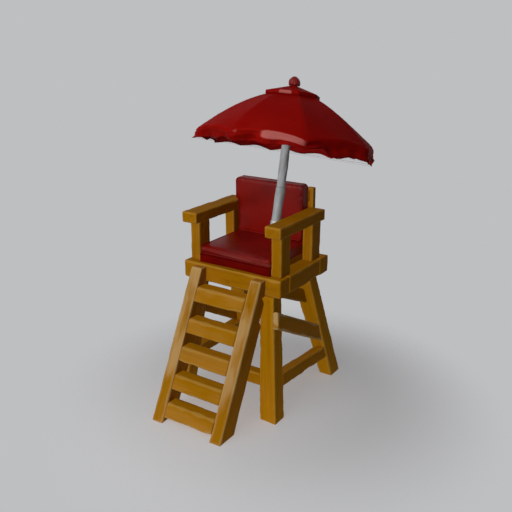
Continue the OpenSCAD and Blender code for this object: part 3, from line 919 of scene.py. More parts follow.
def arrises(solid: bmesh.types.BMesh, hewing: Hewing, axis: np.ndarray,
            rng: np.random.Generator) -> list[Arris]:
    """Lists a solid's sharp outward edges, each with an uneven chamfer.

    Args:
        solid: The timber with its flat faces joined up.
        hewing: How roughly it is dressed.
        axis: The way that the timber runs.
        rng: The random numbers for this timber.

    Returns:
        The edges.
    """
    found = []
    for edge in solid.edges:
        if len(edge.link_faces) != 2 or not edge.is_convex or edge.calc_face_angle() < hewing.sharp:
            continue
        knots = max(3, int(edge.calc_length() / hewing.knot_gap) + 1)
        spread = rng.random(knots) ** 2.6
        widths = hewing.narrow + (hewing.wide - hewing.narrow) * spread
        a, b = (np.array(v.co) for v in edge.verts)
        if abs((b - a) @ axis) < 0.5 * np.linalg.norm(b - a):
            widths = hewing.ends * (0.4 + 1.2 * spread)
        first, second = (np.array(f.normal) for f in edge.link_faces)
        if np.linalg.norm(first + second) > 0.5 and np.linalg.norm(b - a) > 0.01:
            found.append(Arris(a, b, first, second, widths))
    return found


def nearness(rows: np.ndarray, edges: list[Arris], crisp: float) -> np.ndarray:
    """Measures how far points lie from the nearest chamfer that wears.

    Args:
        rows: The points.
        edges: The timber's edges.
        crisp: The width up to which a chamfer doesn't wear.

    Returns:
        A depth for each point in metres, or 1 where no such edge is near.
    """
    near = np.full(len(rows), 1.0)
    for edge in edges:
        depth, width, close = edge.depths(rows)
        if edge.widths.max() > crisp:
            near = np.where(close, np.minimum(near, np.maximum(depth - width, 0)), near)
    return near


def hewn_lump(solid: bmesh.types.BMesh, hewing: Hewing, tone: float,
              rng: np.random.Generator) -> bpy.types.Mesh:
    """Dresses one solid of a timber.

    Args:
        solid: The solid, which is used up.
        hewing: How roughly it is dressed.
        tone: How much darker than its neighbours it is, from 0 to 1.
        rng: The random numbers for this timber.

    Returns:
        Its mesh, with the attributes grain, wear, front and tone.
    """
    raw = bpy.data.meshes.new("raw")
    solid.to_mesh(raw)
    even = remeshed(raw, hewing.voxel)
    rows = coordinates(even)
    centre, axes = rows.mean(0), long_axes(rows)
    edges = arrises(solid, hewing, axes[0], rng)
    solid.free()
    lowest = rows[:, 2].min()
    for edge in edges:
        rows = edge.chamfer(rows)
    near = nearness(rows, edges, hewing.crisp)
    drift = Vector(rng.uniform(-50, 50, 3))
    normals = point_normals(even)
    rows = hewing.hollowed(rows, normals, drift)
    if lowest < hewing.grounded:
        rows[:, 2] = np.where((rows[:, 2] < hewing.sole) & (normals[:, 2] < -0.8), 0.0, rows[:, 2])
    set_coordinates(even, rows)
    local = (rows - centre) @ axes.T
    pith = np.concatenate([rng.uniform(-3, 3, 1), rng.uniform(0.02, 0.07, 2) * rng.choice([-1, 1], 2)])
    store(even, "grain", local + pith)
    wear = np.clip(1 - near / hewing.worn_reach, 0, 1)
    # raw_end paints a timber's ends pale: bare split grain, with a painted highlight on the lit front end.
    if hewing.raw_end:
        reach = np.abs(local[:, 0] - (local[:, 0].max() + local[:, 0].min()) / 2)
        wear = np.maximum(wear, 1.3 * np.clip((reach - reach.max()) / hewing.raw_end + 1.3, 0, 1))
    store(even, "wear", wear)
    # front: how far each face turns to the front, towards the lamps, where the finish paints its highlight
    # patches.
    store(even, "front", np.clip(-1.6 * normals[:, 1], 0, 1))
    store(even, "tone", np.full(len(rows), float(np.clip(tone + rng.uniform(0, 0.14), 0, 1))))
    return even


def hewn(node: str, hewing: Hewing, finish: bpy.types.Material, seed: int, tone: float) -> bpy.types.Object:
    """Makes a timber from its CAD node, with hollowed faces and uneven, softened edges.

    Args:
        node: The CAD node's name.
        hewing: How roughly the timber is dressed.
        finish: The wood's finish.
        seed: The start of its random numbers.
        tone: How much darker than its neighbours it is, from 0 to 1.

    Returns:
        The piece, which stands for the CAD node and rides on the body.
    """
    rng = np.random.default_rng(seed)
    piece = joined([hewn_lump(solid, hewing, tone, rng) for solid in solids_of(node)], f"timber_{node}")
    eased(piece, hewing.softening)
    smooth(piece.data)
    coat(piece, finish)
    return mounted(piece, node)


@dataclass
class Timbers:
    """A group of hewn timbers that are dressed alike."""

    nodes: tuple[str, ...]
    hewing: Hewing = field(default_factory=Hewing)
    tone: float = 0.0
    seed: int = 1

    def build(self, finish: bpy.types.Material) -> list[bpy.types.Object]:
        """Makes every timber of the group.

        Args:
            finish: The wood's finish.

        Returns:
            The pieces.
        """
        return [hewn(node, self.hewing, finish, self.seed + n, self.tone)
                for n, node in enumerate(self.nodes)]


def sides(*names: str) -> tuple[str, ...]:
    """Gives each name once for the left and once for the right."""
    return tuple(f"{name}_{side}" for name in names for side in ("left", "right"))


@dataclass
class Tower:
    """Legs, stretchers, braces and the deck's four beams."""

    legs: Timbers = field(default_factory=lambda: Timbers(sides("leg_front", "leg_back"), seed=11))
    beams: Timbers = field(default_factory=lambda: Timbers(
        ("deck_beam_front", "deck_beam_back") + sides("deck_beam"), Hewing(ends=0.001), seed=31))
    ties: Timbers = field(default_factory=lambda: Timbers(
        ("stretcher_front", "side_brace_left") + sides("stretcher", "knee_brace"),
        Hewing(ends=0.001), seed=51))
    split: Timbers = field(default_factory=lambda: Timbers(
        ("side_brace_right",), Hewing(ends=0.002, raw_end=0.05), seed=61))

    def build(self, finish: bpy.types.Material, lit_leg_finish: bpy.types.Material,
              split_finish: bpy.types.Material) -> list[bpy.types.Object]:
        """Makes the tower's timbers.

        Args:
            finish: The wood's finish.
            lit_leg_finish: The finish of the legs, a lighter copy of the wood as painted light against the
                deck's shade.
            split_finish: The finish of the right brace, whose ends are pale: split bare grain with a painted
                highlight.

        Returns:
            The pieces.
        """
        return (self.legs.build(lit_leg_finish) + self.beams.build(finish) + self.ties.build(finish)
                + self.split.build(split_finish))


@dataclass
class Ladder:
    """Two leaning rails and the treads housed between them."""

    rails: Timbers = field(default_factory=lambda: Timbers(
        sides("ladder_rail"), Hewing(wide=0.012, knot_gap=0.11), seed=71))
    treads: Timbers = field(default_factory=lambda: Timbers(
        tuple(f"ladder_tread_{n}" for n in range(1, 6)), Hewing(ends=0.0), seed=81))

    def build(self, rail_finish: bpy.types.Material,
              tread_finish: bpy.types.Material) -> list[bpy.types.Object]:
        """Makes the ladder, whose rails take more pale patches than its treads, rubbed wear with painted
        highlight.
        """
        return self.rails.build(rail_finish) + self.treads.build(tread_finish)


@dataclass
class Seat:
    """Planks, arm posts, armrests and the slatted back."""

    planks: Timbers = field(default_factory=lambda: Timbers(
        ("seat_planks",), Hewing(voxel=0.010, wide=0.006, hollow=0.0012), seed=91))
    posts: Timbers = field(default_factory=lambda: Timbers(
        sides("arm_post_front", "arm_post_back"), Hewing(ends=0.0), seed=101))
    arms: Timbers = field(default_factory=lambda: Timbers(
        sides("armrest"), Hewing(wide=0.016), seed=111))
    back: Timbers = field(default_factory=lambda: Timbers(
        sides("back_post") + ("back_slats",), Hewing(wide=0.007, hollow=0.0012), seed=121))

    def build(self, finish: bpy.types.Material) -> list[bpy.types.Object]:
        """Makes the seat's timbers in the given finish."""
        return (self.planks.build(finish) + self.posts.build(finish) + self.arms.build(finish)
                + self.back.build(finish))


def from_deck(x: float, y: float, z: float) -> tuple[float, float, float]:
    """Gives a place measured from the middle of the deck in plan and from the ground.

    Args:
        x: Across the chair, in metres.
        y: Along the chair.
        z: Up.

    Returns:
        The place in the chair's frame.
    """
    low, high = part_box("deck_beam_front")
    _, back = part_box("deck_beam_back")
    return ((low.x + high.x) / 2 + x, (low.y + back.y) / 2 + y, z)


# ----------------------------------------------------------------- sewn lines


def polyline(lines: list[list[Vector]]) -> bpy.types.Mesh:
    """Makes a mesh of loose edges.

    Args:
        lines: The lines of points that the edges follow.

    Returns:
        The mesh.
    """
    mesh = bpy.data.meshes.new("line")
    points, edges = [], []
    for one in lines:
        start = len(points)
        points += [tuple(p) for p in one]
        edges += [(start + i, start + i + 1) for i in range(len(one) - 1)]
    mesh.from_pydata(points, edges, [])
    return mesh


def stitches(name: str, lines: list[list[Vector]], finish: bpy.types.Material,
             pitch: float = 0.010, length: float = 0.0065, width: float = 0.0014,
             corners: int = 4) -> bpy.types.Object:
    """Sews a row of stitches along lines.

    Args:
        name: The piece's name.
        lines: The lines of points.
        finish: The thread's finish.
        pitch: From one stitch to the next, in metres.
        length: One stitch's length.
        width: The thread's thickness.
        corners: How many corners the thread's section has.

    Returns:
        The piece.
    """
    rule = Rule(name, takes_shape=True)
    gap, long, thick = rule.sizes(Pitch=pitch, Length=length, Width=width)
    curve = rule.node("GeometryNodeMeshToCurve", Mesh=rule.start.outputs["Shape"])
    points = rule.node("GeometryNodeCurveToPoints", {"mode": "LENGTH"}, Curve=curve.outputs[0], Length=gap)
    stitch = rule.node("GeometryNodeMeshCylinder", Vertices=corners, Radius=0.5, Depth=1.0)
    aligned = rule.node("FunctionNodeAlignEulerToVector", {"axis": "Z"}, Vector=points.outputs["Tangent"])
    laid = rule.node("GeometryNodeInstanceOnPoints", Points=points.outputs["Points"],
                     Instance=stitch.outputs[0], Rotation=aligned.outputs[0],
                     Scale=rule.point(thick, thick, long))
    return mounted(rule.piece(name, laid.outputs[0], finish, polyline(lines)))


def cord_along(name: str, lines: list[list[Vector]], finish: bpy.types.Material, radius: float,
               corners: int = 8) -> bpy.types.Object:
    """Runs a round welt along closed or open lines.

    Args:
        name: The piece's name.
        lines: The lines of points. A line whose ends meet is closed.
        finish: The welt's finish.
        radius: The welt's radius in metres.
        corners: How many corners the welt's section has.

    Returns:
        The piece.
    """
    rule = Rule(name, takes_shape=True)
    thick, = rule.sizes(Radius=radius)
    merged = rule.node("GeometryNodeMergeByDistance", Geometry=rule.start.outputs["Shape"],
                       Distance=TOUCHING)
    piece = rule.piece(name, rule.tube(merged.outputs[0], thick, corners), finish, polyline(lines))
    smooth(piece.data)
    return mounted(piece)


# ------------------------------------------------------------------- cushions


class Side(Enum):
    """Which of a pad's three sizes is the thin one."""

    ALONG = 1
    UP = 2


@dataclass
class Cushion:
    """One stuffed pad, swollen inside its own space, with a sewn welt.

    shrink is how much smaller than its space the pad starts on each side. most caps its swelling.
    roll rounds its front edge, as deep as front_depth, and crown thins its proud side at the edges.
    """

    node: str
    shrink: tuple[float, float, float] = (0.010, 0.010, 0.008)
    voxel: float = 0.006
    rounding: int = 8
    pressure: float = 4.0
    most: float = 0.008
    welt: float = 0.0042
    thin: Side = Side.UP
    roll: float = 0.0
    crown: float = 0.0
    proud: int = 1
    press_low: tuple[float, float, float] = (0.008, -0.001, 0.012)
    press_high: tuple[float, float, float] = (0.008, 0.008, 0.001)
    clear: float = 0.0004
    front_depth: float = 0.06
    welt_step: float = 0.010
    welt_out: float = 0.35
    frames: int = 20

    def build(self, finish: bpy.types.Material) -> bpy.types.Object:
        """Makes the pad: an even skin, rounded, swollen by its filling and kept to its space.

        Args:
            finish: The cover's finish.

        Returns:
            The piece.
        """
        solid = solids_of(self.node)[0]
        space = BVHTree.FromBMesh(solid)
        raw = mesh_of(solid, self.node)
        rows = coordinates(raw)
        low, high = rows.min(0), rows.max(0)
        centre = (low + high) / 2
        scale = 1 - 2 * np.array(self.shrink) / (high - low)
        set_coordinates(raw, centre + (rows - centre) * scale)
        piece = link(bpy.data.objects.new(f"pad_{self.node}", remeshed(raw, self.voxel)))
        eased(piece, self.rounding)
        self.swell(piece)
        rows = coordinates(piece.data)
        start, end = rows.min(0), rows.max(0)
        low_edge, high_edge = low - np.array(self.press_low), high + np.array(self.press_high)
        rows = low_edge + (rows - start) * (high_edge - low_edge) / (end - start)
        rows, rub_and_sheen = self.rolled(self.kept_in(rows, space))
        set_coordinates(piece.data, rows)
        store(piece.data, "rub_and_sheen", rub_and_sheen)
        finer = piece.modifiers.new("finer", "SUBSURF")
        finer.levels = finer.render_levels = 1
        settled(piece)
        smooth(piece.data)
        coat(piece, finish)
        mounted(piece, self.node)
        self.edges = self.welt_lines(piece.data)
        return piece

    def rolled(self, rows: np.ndarray) -> tuple[np.ndarray, np.ndarray]:
        """Crowns the pad's proud side, and rounds its front edge over and under, like a roll.

        Args:
            rows: The pad's points.

        Returns:
            The points, moved, and how much painted highlight each one takes, as a pale stripe along the roll.
        """
        low, high = rows.min(0), rows.max(0)
        up = self.thin.value
        spread = np.abs(2 * (rows - low) / (high - low) - 1)
        spread[:, up] = 0
        edge = 1 - np.prod(1 - spread ** 3, axis=1)
        middle = (low[up] + high[up]) / 2
        face = (rows[:, up] - middle) * self.proud
        rows[:, up] = middle + self.proud * np.where(face > 0, face * (1 - self.crown * edge), face)
        front = np.clip(1 - (rows[:, 1] - low[1]) / self.front_depth, 0, 1)
        level = 2 * (rows[:, 2] - low[2]) / (high[2] - low[2]) - 1
        rows[:, 1] += self.roll * front * np.where(level < 0.1, (0.1 - level) / 1.1, 0.0) ** 1.4
        rows[:, 1] += self.roll * 0.6 * front * np.clip((level - 0.3) / 0.7, 0, 1) ** 2
        rows[:, 2] -= self.roll * 0.25 * front ** 2 * np.clip(level, 0, 1) ** 2
        # Painted highlight: a pale stripe along the upper roll.
        across = (rows[:, 0] - low[0]) / (high[0] - low[0])
        stripe = np.exp(-((level - 0.1 + 0.45 * across) / 0.28) ** 2) * np.clip(across * 2.5 - 0.3, 0, 1)
        return rows, front ** 0.5 * stripe * float(self.roll > 0)

    def welt_lines(self, mesh: bpy.types.Mesh) -> list[list[Vector]]:
        """Finds where the cover's welts run: along the edges of its two broad sides.

        Args:
            mesh: The finished pad.

        Returns:
            Closed lines of points on the pad.
        """
        solid = solids_of(self.node)[0]
        thin = self.thin.value
        values = [v.co[thin] for v in solid.verts]
        lines = []
        skin = BVHTree.FromPolygons([v.co[:] for v in mesh.vertices], [p.vertices[:] for p in mesh.polygons])
        for level in (min(values), max(values)):
            flat = [e for e in solid.edges if e.calc_face_angle(0.0) > 1.0
                    and all(abs(v.co[thin] - level) < 1e-4 for v in e.verts)]
            line = self.walk(flat)
            run = []
            for a, b in zip(line, line[1:] + line[:1]):
                steps = max(1, int((b - a).length / self.welt_step))
                run += [a.lerp(b, i / steps) for i in range(steps)]
            found = [skin.find_nearest(point)[:2] for point in run]
            lines.append([spot + way * (self.welt * self.welt_out) for spot, way in found])
            for _ in range(3):
                last = lines[-1]
                after = last[1:] + last[:1]
                lines[-1] = [(last[i - 1] + last[i] * 2 + after[i]) / 4 for i in range(len(last))]
            lines[-1].append(lines[-1][0].copy())
        solid.free()
        return lines

    def walk(self, edges: list[bmesh.types.BMEdge]) -> list[Vector]:
        """Puts the points of a ring of edges in order.

        Args:
            edges: The ring's edges.

        Returns:
            Its points.
        """
        start = edges[0].verts[0]
        here, left, order = start, list(edges), [start.co.copy()]
        while left:
            step = next((e for e in left if here in e.verts), None)
            if step is None:
                break
            left.remove(step)
            here = step.other_vert(here)
            if here is not start:
                order.append(here.co.copy())
        return order

    def swell(self, piece: bpy.types.Object) -> None:
        """Blows the cover out by the filling's pressure, and caps how far a point moves.

        Args:
            piece: The pad, whose mesh is changed.
        """
        before = coordinates(piece.data)
        cloth = piece.modifiers.new("filling", "CLOTH")
        cloth.settings.quality = 5
        cloth.settings.use_pressure = True
        cloth.settings.uniform_pressure_force = self.pressure
        cloth.settings.effector_weights.gravity = 0
        cloth.point_cache.frame_start = 1
        cloth.point_cache.frame_end = self.frames
        scene = bpy.context.scene
        for step in range(1, self.frames + 1):
            scene.frame_set(step)
        graph = bpy.context.evaluated_depsgraph_get()
        after = coordinates(piece.evaluated_get(graph).data)
        piece.modifiers.clear()
        scene.frame_set(1)
        move = after - before
        size = np.linalg.norm(move, axis=1)
        cap = np.minimum(size, self.most) / np.maximum(size, 1e-9)
        set_coordinates(piece.data, before + move * cap[:, None])

    def kept_in(self, rows: np.ndarray, space: BVHTree) -> np.ndarray:
        """Presses the pad flat where it would leave its own space.

        Args:
            rows: The pad's points.
            space: The faces round the pad's own space.

        Returns:
            The points, moved.
        """
        rows = rows.copy()
        for i, row in enumerate(rows):
            spot, way, _, _ = space.find_nearest(Vector(row))
            if (Vector(row) - spot).dot(way) > -self.clear:
                rows[i] = spot - way * self.clear
        return rows


@dataclass
class Cushions:
    """The seat's bolster, its main cushion and the back cushion."""

    # Painted shade: the bolster takes a darker copy of the vinyl, sitting in shade under the seat's roll.
    shaded: Vinyl = field(default_factory=lambda: Vinyl(
        name="shaded red vinyl", colour="6c0501", dark="500301", scuffed="740d06", sheen=0.03))
    bolster: Cushion = field(default_factory=lambda: Cushion(
        "seat_bolster", shrink=(0.006, 0.002, 0.004), voxel=0.005, rounding=3, pressure=3.0, most=0.006,
        press_low=(0.006, 0.002, 0.003), press_high=(0.006, 0.004, 0.010)))
    seat: Cushion = field(default_factory=lambda: Cushion(
        "seat_cushion", voxel=0.0062, roll=0.026, crown=0.2))
    back: Cushion = field(default_factory=lambda: Cushion(
        "back_cushion", press_low=(0.006, 0.001, 0.010), press_high=(0.006, 0.008, 0.003),
        thin=Side.ALONG, crown=0.22, proud=-1))

    def build(self, finish: bpy.types.Material) -> list[bpy.types.Object]:
        """Makes the three pads, and the welts along their edges.

        Args:
            finish: The cover of the seat and the back.

        Returns:
            The pieces.
        """
        made = []
        for pad, cover in ((self.bolster, self.shaded.material()), (self.seat, finish), (self.back, finish)):
            made.append(pad.build(cover))
            made.append(cord_along(f"welt_{pad.node}", pad.edges, cover, pad.welt))
        return made


# ------------------------------------------------------------------- umbrella


@dataclass(frozen=True)
class Leaning:
    """The line of the umbrella's pole, which leans back."""

    foot: tuple[float, float, float] = field(default_factory=lambda: from_deck(0.2805, -0.237, 1.188))
    lean: float = math.radians(13.2)
    rim: float = 0.925

    def matrix(self, along: float = 0.0) -> Matrix:
        """Gives the turn and place of something that stands upright about the pole's line.

        Args:
            along: How far up the pole its own zero is, in metres.

        Returns:
            The matrix from its own frame to the chair's.
        """
        turn = Euler((-self.lean, 0, 0)).to_matrix().to_4x4()
        return Matrix.Translation(self.foot) @ turn @ Matrix.Translation((0, 0, along))

    def leant(self, rule: Rule, shape: bpy.types.NodeSocket, along: float) -> bpy.types.NodeSocket:
        """Adds the step that leans an upright shape back onto the pole's line.

        Args:
            rule: The node tree.
            shape: The shape's socket.
            along: How far up the pole its own zero is, in metres.

        Returns:
            The socket of the leaning shape.
        """
        return rule.node("GeometryNodeTransform", Geometry=shape, Rotation=(-self.lean, 0, 0),
                         Translation=self.matrix(along).translation).outputs[0]


@dataclass
class Sheet:
    """A ribbed cloth cover by rule: a dome or pyramid of panels and a hanging valance.

    Places round the cover count in panels from the first rib, and places outwards run from 0 at the
    hole to 1 at the hem. lifted and low each hold a start, an end and a distance.
    """

    name: str
    node: str
    base: float
    hole: float
    radius: float
    turn: float
    rise: float
    power: float
    arch: float
    drop: float
    flare: float
    scallop: float
    flute: float
    sag: float
    tucked: tuple[tuple[float, float], ...] = ()
    tucked_by: float = 0.0
    crumple: float = 0.0
    lifted: tuple[float, float, float] = (0.0, 0.0, 0.0)
    low: tuple[float, float, float] = (0.0, 0.0, 0.0)
    painted_highlight: tuple[tuple[float, float, float, float], ...] = ()
    thickness: float = 0.0035
    columns: int = 16
    dome_rows: int = 36
    skirt_rows: int = 8
    seed: float = 3.0
    soft: float = 0.14
    highlight_soft: tuple[float, float] = (0.16, 0.035)
    stitch_lift: float = 0.0006

    def build(self, line: Leaning, finish: bpy.types.Material) -> bpy.types.Object:
        """Makes the sheet with a node tree that places a grid's points by rule.

        Args:
            line: The pole's line.
            finish: The cloth's finish.

        Returns:
            The piece, one closed sheet with its thickness.
        """
        rule = Rule(self.name)
        hole, radius, turn = rule.sizes(Hole=self.hole, Radius=self.radius, Fold_at=self.turn)
        rise, power, arch = rule.sizes(Rise=self.rise, Power=self.power, Arch=self.arch)
        drop, flare, scallop = rule.sizes(Valance=self.drop, Flare=self.flare, Scallop=self.scallop)
        flute, sag, seed = rule.sizes(Flute=self.flute, Sag=self.sag, Seed=self.seed)
        inward, outward, lower, crumple = rule.sizes(
            Tucked_by=self.tucked_by, Lifted_by=self.lifted[2], Low_by=self.low[2], Crumple=self.crumple)
        rows = self.dome_rows + self.skirt_rows
        cut = self.dome_rows / rows
        grid = rule.node("GeometryNodeMeshGrid", Vertices_X=RIBS * self.columns + 1, Vertices_Y=rows + 1)
        split = rule.node("ShaderNodeSeparateXYZ", Vector=rule.node("GeometryNodeInputPosition").outputs[0])
        u = Number(rule.tree, split.outputs[0]) + 0.5
        v = Number(rule.tree, split.outputs[1]) + 0.5
        panels = u * float(RIBS) + TOUCHING
        index = panels.does("FLOOR")
        across = (panels - index) * 2.0 - 1.0
        bulge = 1.0 - across * across
        half = math.pi / RIBS
        angle = panels * (2 * half) + FIRST_RIB
        chord = math.cos(half) * (across * half).cosine().to(-1.0)
        dome = (v / cut).does("MINIMUM", 1.0)
        skirt = ((v - cut) / (1 - cut)).does("MAXIMUM", 0.0)
        fold_r = radius * turn
        r = hole + (fold_r - hole) * dome
        s = r / radius
        span = (s - hole / radius) / (turn - hole / radius)
        height = rise - rise * s.to(power) + arch * s.to(4.0) * bulge
        height = height - sag * (span * math.pi).sine() * bulge
        down = drop - scallop * (across * math.pi + math.pi).sine().to(2.0)
        height = height - skirt * (down + arch * turn.to(4.0) * bulge)
        lift, hang = (self.within(panels, start, end, self.soft) for start, end, _ in (self.lifted, self.low))
        tuck = skirt * 0.0
        for first, last in self.tucked:
            tuck = tuck + self.within(panels, first, last, self.soft)
        height = height - skirt * hang * lower - skirt * across.to(8.0) * (drop * 0.14)
        luck = ((index * 12.9898 + seed).sine() * 43758.5453).does("FRACT")
        wave = (across * 2.3 * math.pi + luck * 6.283).sine()
        wave = wave + (across * 5.1 * math.pi + luck * 17.0).sine() * 0.4
        out = r + flare * skirt + flute * skirt.to(1.3) * bulge * wave
        out = out - inward * skirt * tuck + outward * skirt.to(0.7) * lift
        creases = rule.node("ShaderNodeTexNoise", Vector=rule.point(angle.cosine(), angle.sine(), v * 3.0),
                            Scale=4.2, Detail=1.0)
        lumps = (Number(rule.tree, creases.outputs[0]) - 0.5) * crumple
        out = out + lumps * (skirt + span.to(8.0) * 0.35)
        height = height + lumps * skirt * 0.5
        out = out * chord
        place = rule.point(out * angle.cosine(), out * angle.sine(), height)
        shape = grid.outputs[0]
        # The bleached spots are painted highlights on the cloth.
        pale = skirt * 0.0
        for first, last, start, end in self.painted_highlight:
            edges = self.highlight_soft
            spot = self.within(panels, first, last, edges[0]) * self.within(v, start, end, edges[1])
            pale = pale.does("MAXIMUM", spot)
        marks = {"cloth": rule.point(angle * 0.5, v * 1.1, index), "hem": skirt, "around": u, "out": v,
                 "painted_highlight": pale}
        for label, value in marks.items():
            kind = "FLOAT_VECTOR" if label == "cloth" else "FLOAT"
            kept = rule.node("GeometryNodeStoreNamedAttribute", {"data_type": kind, "domain": "POINT"},
                             Geometry=shape, Name=label, Value=value)
            shape = kept.outputs[0]
        shape = rule.node("GeometryNodeSetPosition", Geometry=shape, Position=place).outputs[0]
        closed = rule.node("GeometryNodeMergeByDistance", Geometry=shape, Distance=TOUCHING)
        faced = rule.node("GeometryNodeFlipFaces", Mesh=closed.outputs[0])
        piece = rule.piece(self.name, line.leant(rule, faced.outputs[0], line.rim + self.base), finish)
        smooth(piece.data)
        self.lines = self.sewing_lines(piece.data, cut)
        wall = piece.modifiers.new("cloth", "SOLIDIFY")
        wall.thickness = self.thickness
        wall.offset = -1
        wall.use_even_offset = False
        return mounted(settled(piece), self.node)

    def within(self, value: Number, first: float, last: float, edge: float) -> Number:
        """Gives 1 between two numbers and 0 beyond, with soft edges, and runs on round the ring.

        Args:
            value: The number to test.
            first: Where it starts to rise.
            last: Where it has fallen back to nothing.
            edge: How wide each soft edge is.

        Returns:
            The share, from 0 to 1.
        """
        off = (value - (first + last) / 2).does("WRAP", RIBS / 2, -RIBS / 2).does("ABSOLUTE")
        return ((off * -1.0 + (last - first) / 2) / edge).does("MAXIMUM", 0.0).does("MINIMUM", 1.0)

    def sewing_lines(self, mesh: bpy.types.Mesh, cut: float) -> dict[str, list[list[Vector]]]:
        """Finds the lines along which the sheet is sewn, lying on its outer face.

        Args:
            mesh: The sheet before it has its thickness.
            cut: Where the valance starts, as a share of the way out.

        Returns:
            The hem's rings and the ribs' seams, each a list of points.
        """
        rows, normals = coordinates(mesh), point_normals(mesh)
        around, out = (np.zeros(len(mesh.vertices), np.float32) for _ in range(2))
        mesh.attributes["around"].data.foreach_get("value", around)
        mesh.attributes["out"].data.foreach_get("value", out)
        total = self.dome_rows + self.skirt_rows
        row = np.rint(out * total).astype(int)
        column = np.rint(around * RIBS * self.columns).astype(int) % (RIBS * self.columns)
        spots = rows + normals * self.stitch_lift
        ring = np.where(row == total - 1)[0]
        ring = ring[np.argsort(column[ring])]
        hem = [Vector(spots[i]) for i in [*ring, ring[0]]]
        seams = []
        for rib in range(RIBS):
            picked = np.where(column == rib * self.columns)[0]
            seams.append([Vector(spots[i]) for i in picked[np.argsort(row[picked])]])
        return {"hem": [hem], "seams": seams}


@dataclass
class Frame:
    """The umbrella's ribs and stays, which repeat round the pole."""

    rib_r: float = 0.0045
    hub: float = 0.060
    into_hub: float = 0.006
    reach: float = 0.65
    below: float = 0.0135
    stay_at: float = 0.400
    stay_below: float = 0.008
    runner_z: float = 0.0675
    runner_r: float = 0.0575
    stay_r: float = 0.0045
    steps: int = 24
    corners: int = 10

    def rib_line(self, r: float) -> Vector:
        """Gives the middle of a rib at a distance from the pole."""
        return Vector((r, 0, DOME_RISE * (1 - (r / DOME_RADIUS) ** DOME_POWER) - self.below))

    def around(self, name: str, node: str, line: Leaning, path: list[Vector], radius: float,
               finish: bpy.types.Material) -> bpy.types.Object:
        """Repeats a rod round the pole by a node tree.

        Args:
            name: The piece's name.
            node: The CAD node that it stands for.
            line: The pole's line.
            path: One rod's middle line.
            radius: The rod's radius.
            finish: Its finish.

        Returns:
            The piece.
        """
        rule = Rule(name, takes_shape=True)
        thick, first = rule.sizes(Radius=radius, First_at=FIRST_RIB)
        count = rule.entry("Count", RIBS, "NodeSocketInt")
        rod = rule.tube(rule.start.outputs["Shape"], thick, self.corners)
        spots = rule.node("GeometryNodePoints", Count=count)
        angle = rule.number("GeometryNodeInputIndex") * (2 * math.pi) / Number(rule.tree, count) + first
        copies = rule.node("GeometryNodeInstanceOnPoints", Points=spots.outputs[0], Instance=rod,
                           Rotation=rule.point(0.0, 0.0, angle))
        shape = line.leant(rule, copies.outputs[0], line.rim)
        piece = rule.piece(name, shape, finish, polyline([path]))
        smooth(piece.data)
        return mounted(piece, node)

    def build(self, line: Leaning, finish: bpy.types.Material) -> list[bpy.types.Object]:
        """Makes the ribs and the stays.

        Args:
            line: The pole's line.
            finish: The metal's finish.

        Returns:
            The two pieces.
        """
        start = self.hub - self.into_hub
        path = [self.rib_line(start + (self.reach - start) * i / self.steps) for i in range(self.steps + 1)]
        ribs = self.around("umbrella_rib_rods", "umbrella_ribs", line, path, self.rib_r, finish)
        middle = self.rib_line(self.stay_at) - Vector((0, 0, self.stay_below))
        stay = [Vector((self.runner_r, 0, self.runner_z)), middle]
        stays = self.around("umbrella_stay_rods", "umbrella_stays", line, stay, self.stay_r, finish)
        return [ribs, stays]


@dataclass
class Pole:
    """The two lengths of rough, enamelled pole, each a start, an end and a radius."""

    lower: tuple[float, float, float] = (0.2995, 0.5994, 0.0385)
    upper: tuple[float, float, float] = (0.5994, 1.3535, 0.0365)
    lump: float = 0.006
    inset: float = 0.0004
    ring_gap: float = 0.010
    sides: int = 28

    def build(self, line: Leaning, finish: bpy.types.Material) -> list[bpy.types.Object]:
        """Makes both lengths, each a tube of uneven rings.

        Args:
            line: The pole's line.
            finish: The enamel.

        Returns:
            The two pieces.
        """
        made = []
        for name, (start, end, radius) in (("lower", self.lower), ("upper", self.upper)):
            shape = bmesh.new()
            count = int((end - start) / self.ring_gap)
            rings = [self.ring(shape, start + (end - start) * i / count, radius) for i in range(count + 1)]
            for low, high in zip(rings, rings[1:]):
                for j in range(self.sides):
                    k = (j + 1) % self.sides
                    shape.faces.new((low[j], low[k], high[k], high[j]))
            shape.faces.new(list(reversed(rings[0])))
            shape.faces.new(rings[-1])
            mesh = mesh_of(shape, f"pole_{name}")
            mesh.transform(line.matrix())
            smooth(mesh)
            piece = link(bpy.data.objects.new(f"pole_{name}", mesh))
            coat(piece, finish)
            made.append(mounted(piece, f"umbrella_pole_{name}"))
        return made

    def ring(self, shape: bmesh.types.BMesh, z: float, radius: float) -> list[bmesh.types.BMVert]:
        """Adds one ring of points to the pole.

        Args:
            shape: The pole's mesh.
            z: How far up the pole the ring is.
            radius: The pole's radius, which its lumps stay within.

        Returns:
            The ring's points.
        """
        points = []
        for j in range(self.sides):
            a = 2 * math.pi * j / self.sides
            way = Vector((math.cos(a), math.sin(a), 0))
            lumps = noise.noise(Vector((way.x * 1.1, way.y * 1.1, z * 9)) + Vector((7, 3, 1)))
            facets = abs(noise.noise(Vector((way.x * 1.7, way.y * 1.7, z * 17 + 40))))
            cut = min(max(0.35 + 0.7 * lumps + 0.5 * facets, 0.0), 1.0)
            points.append(shape.verts.new(way * (radius - self.inset - self.lump * cut) + Vector((0, 0, z))))
        return points


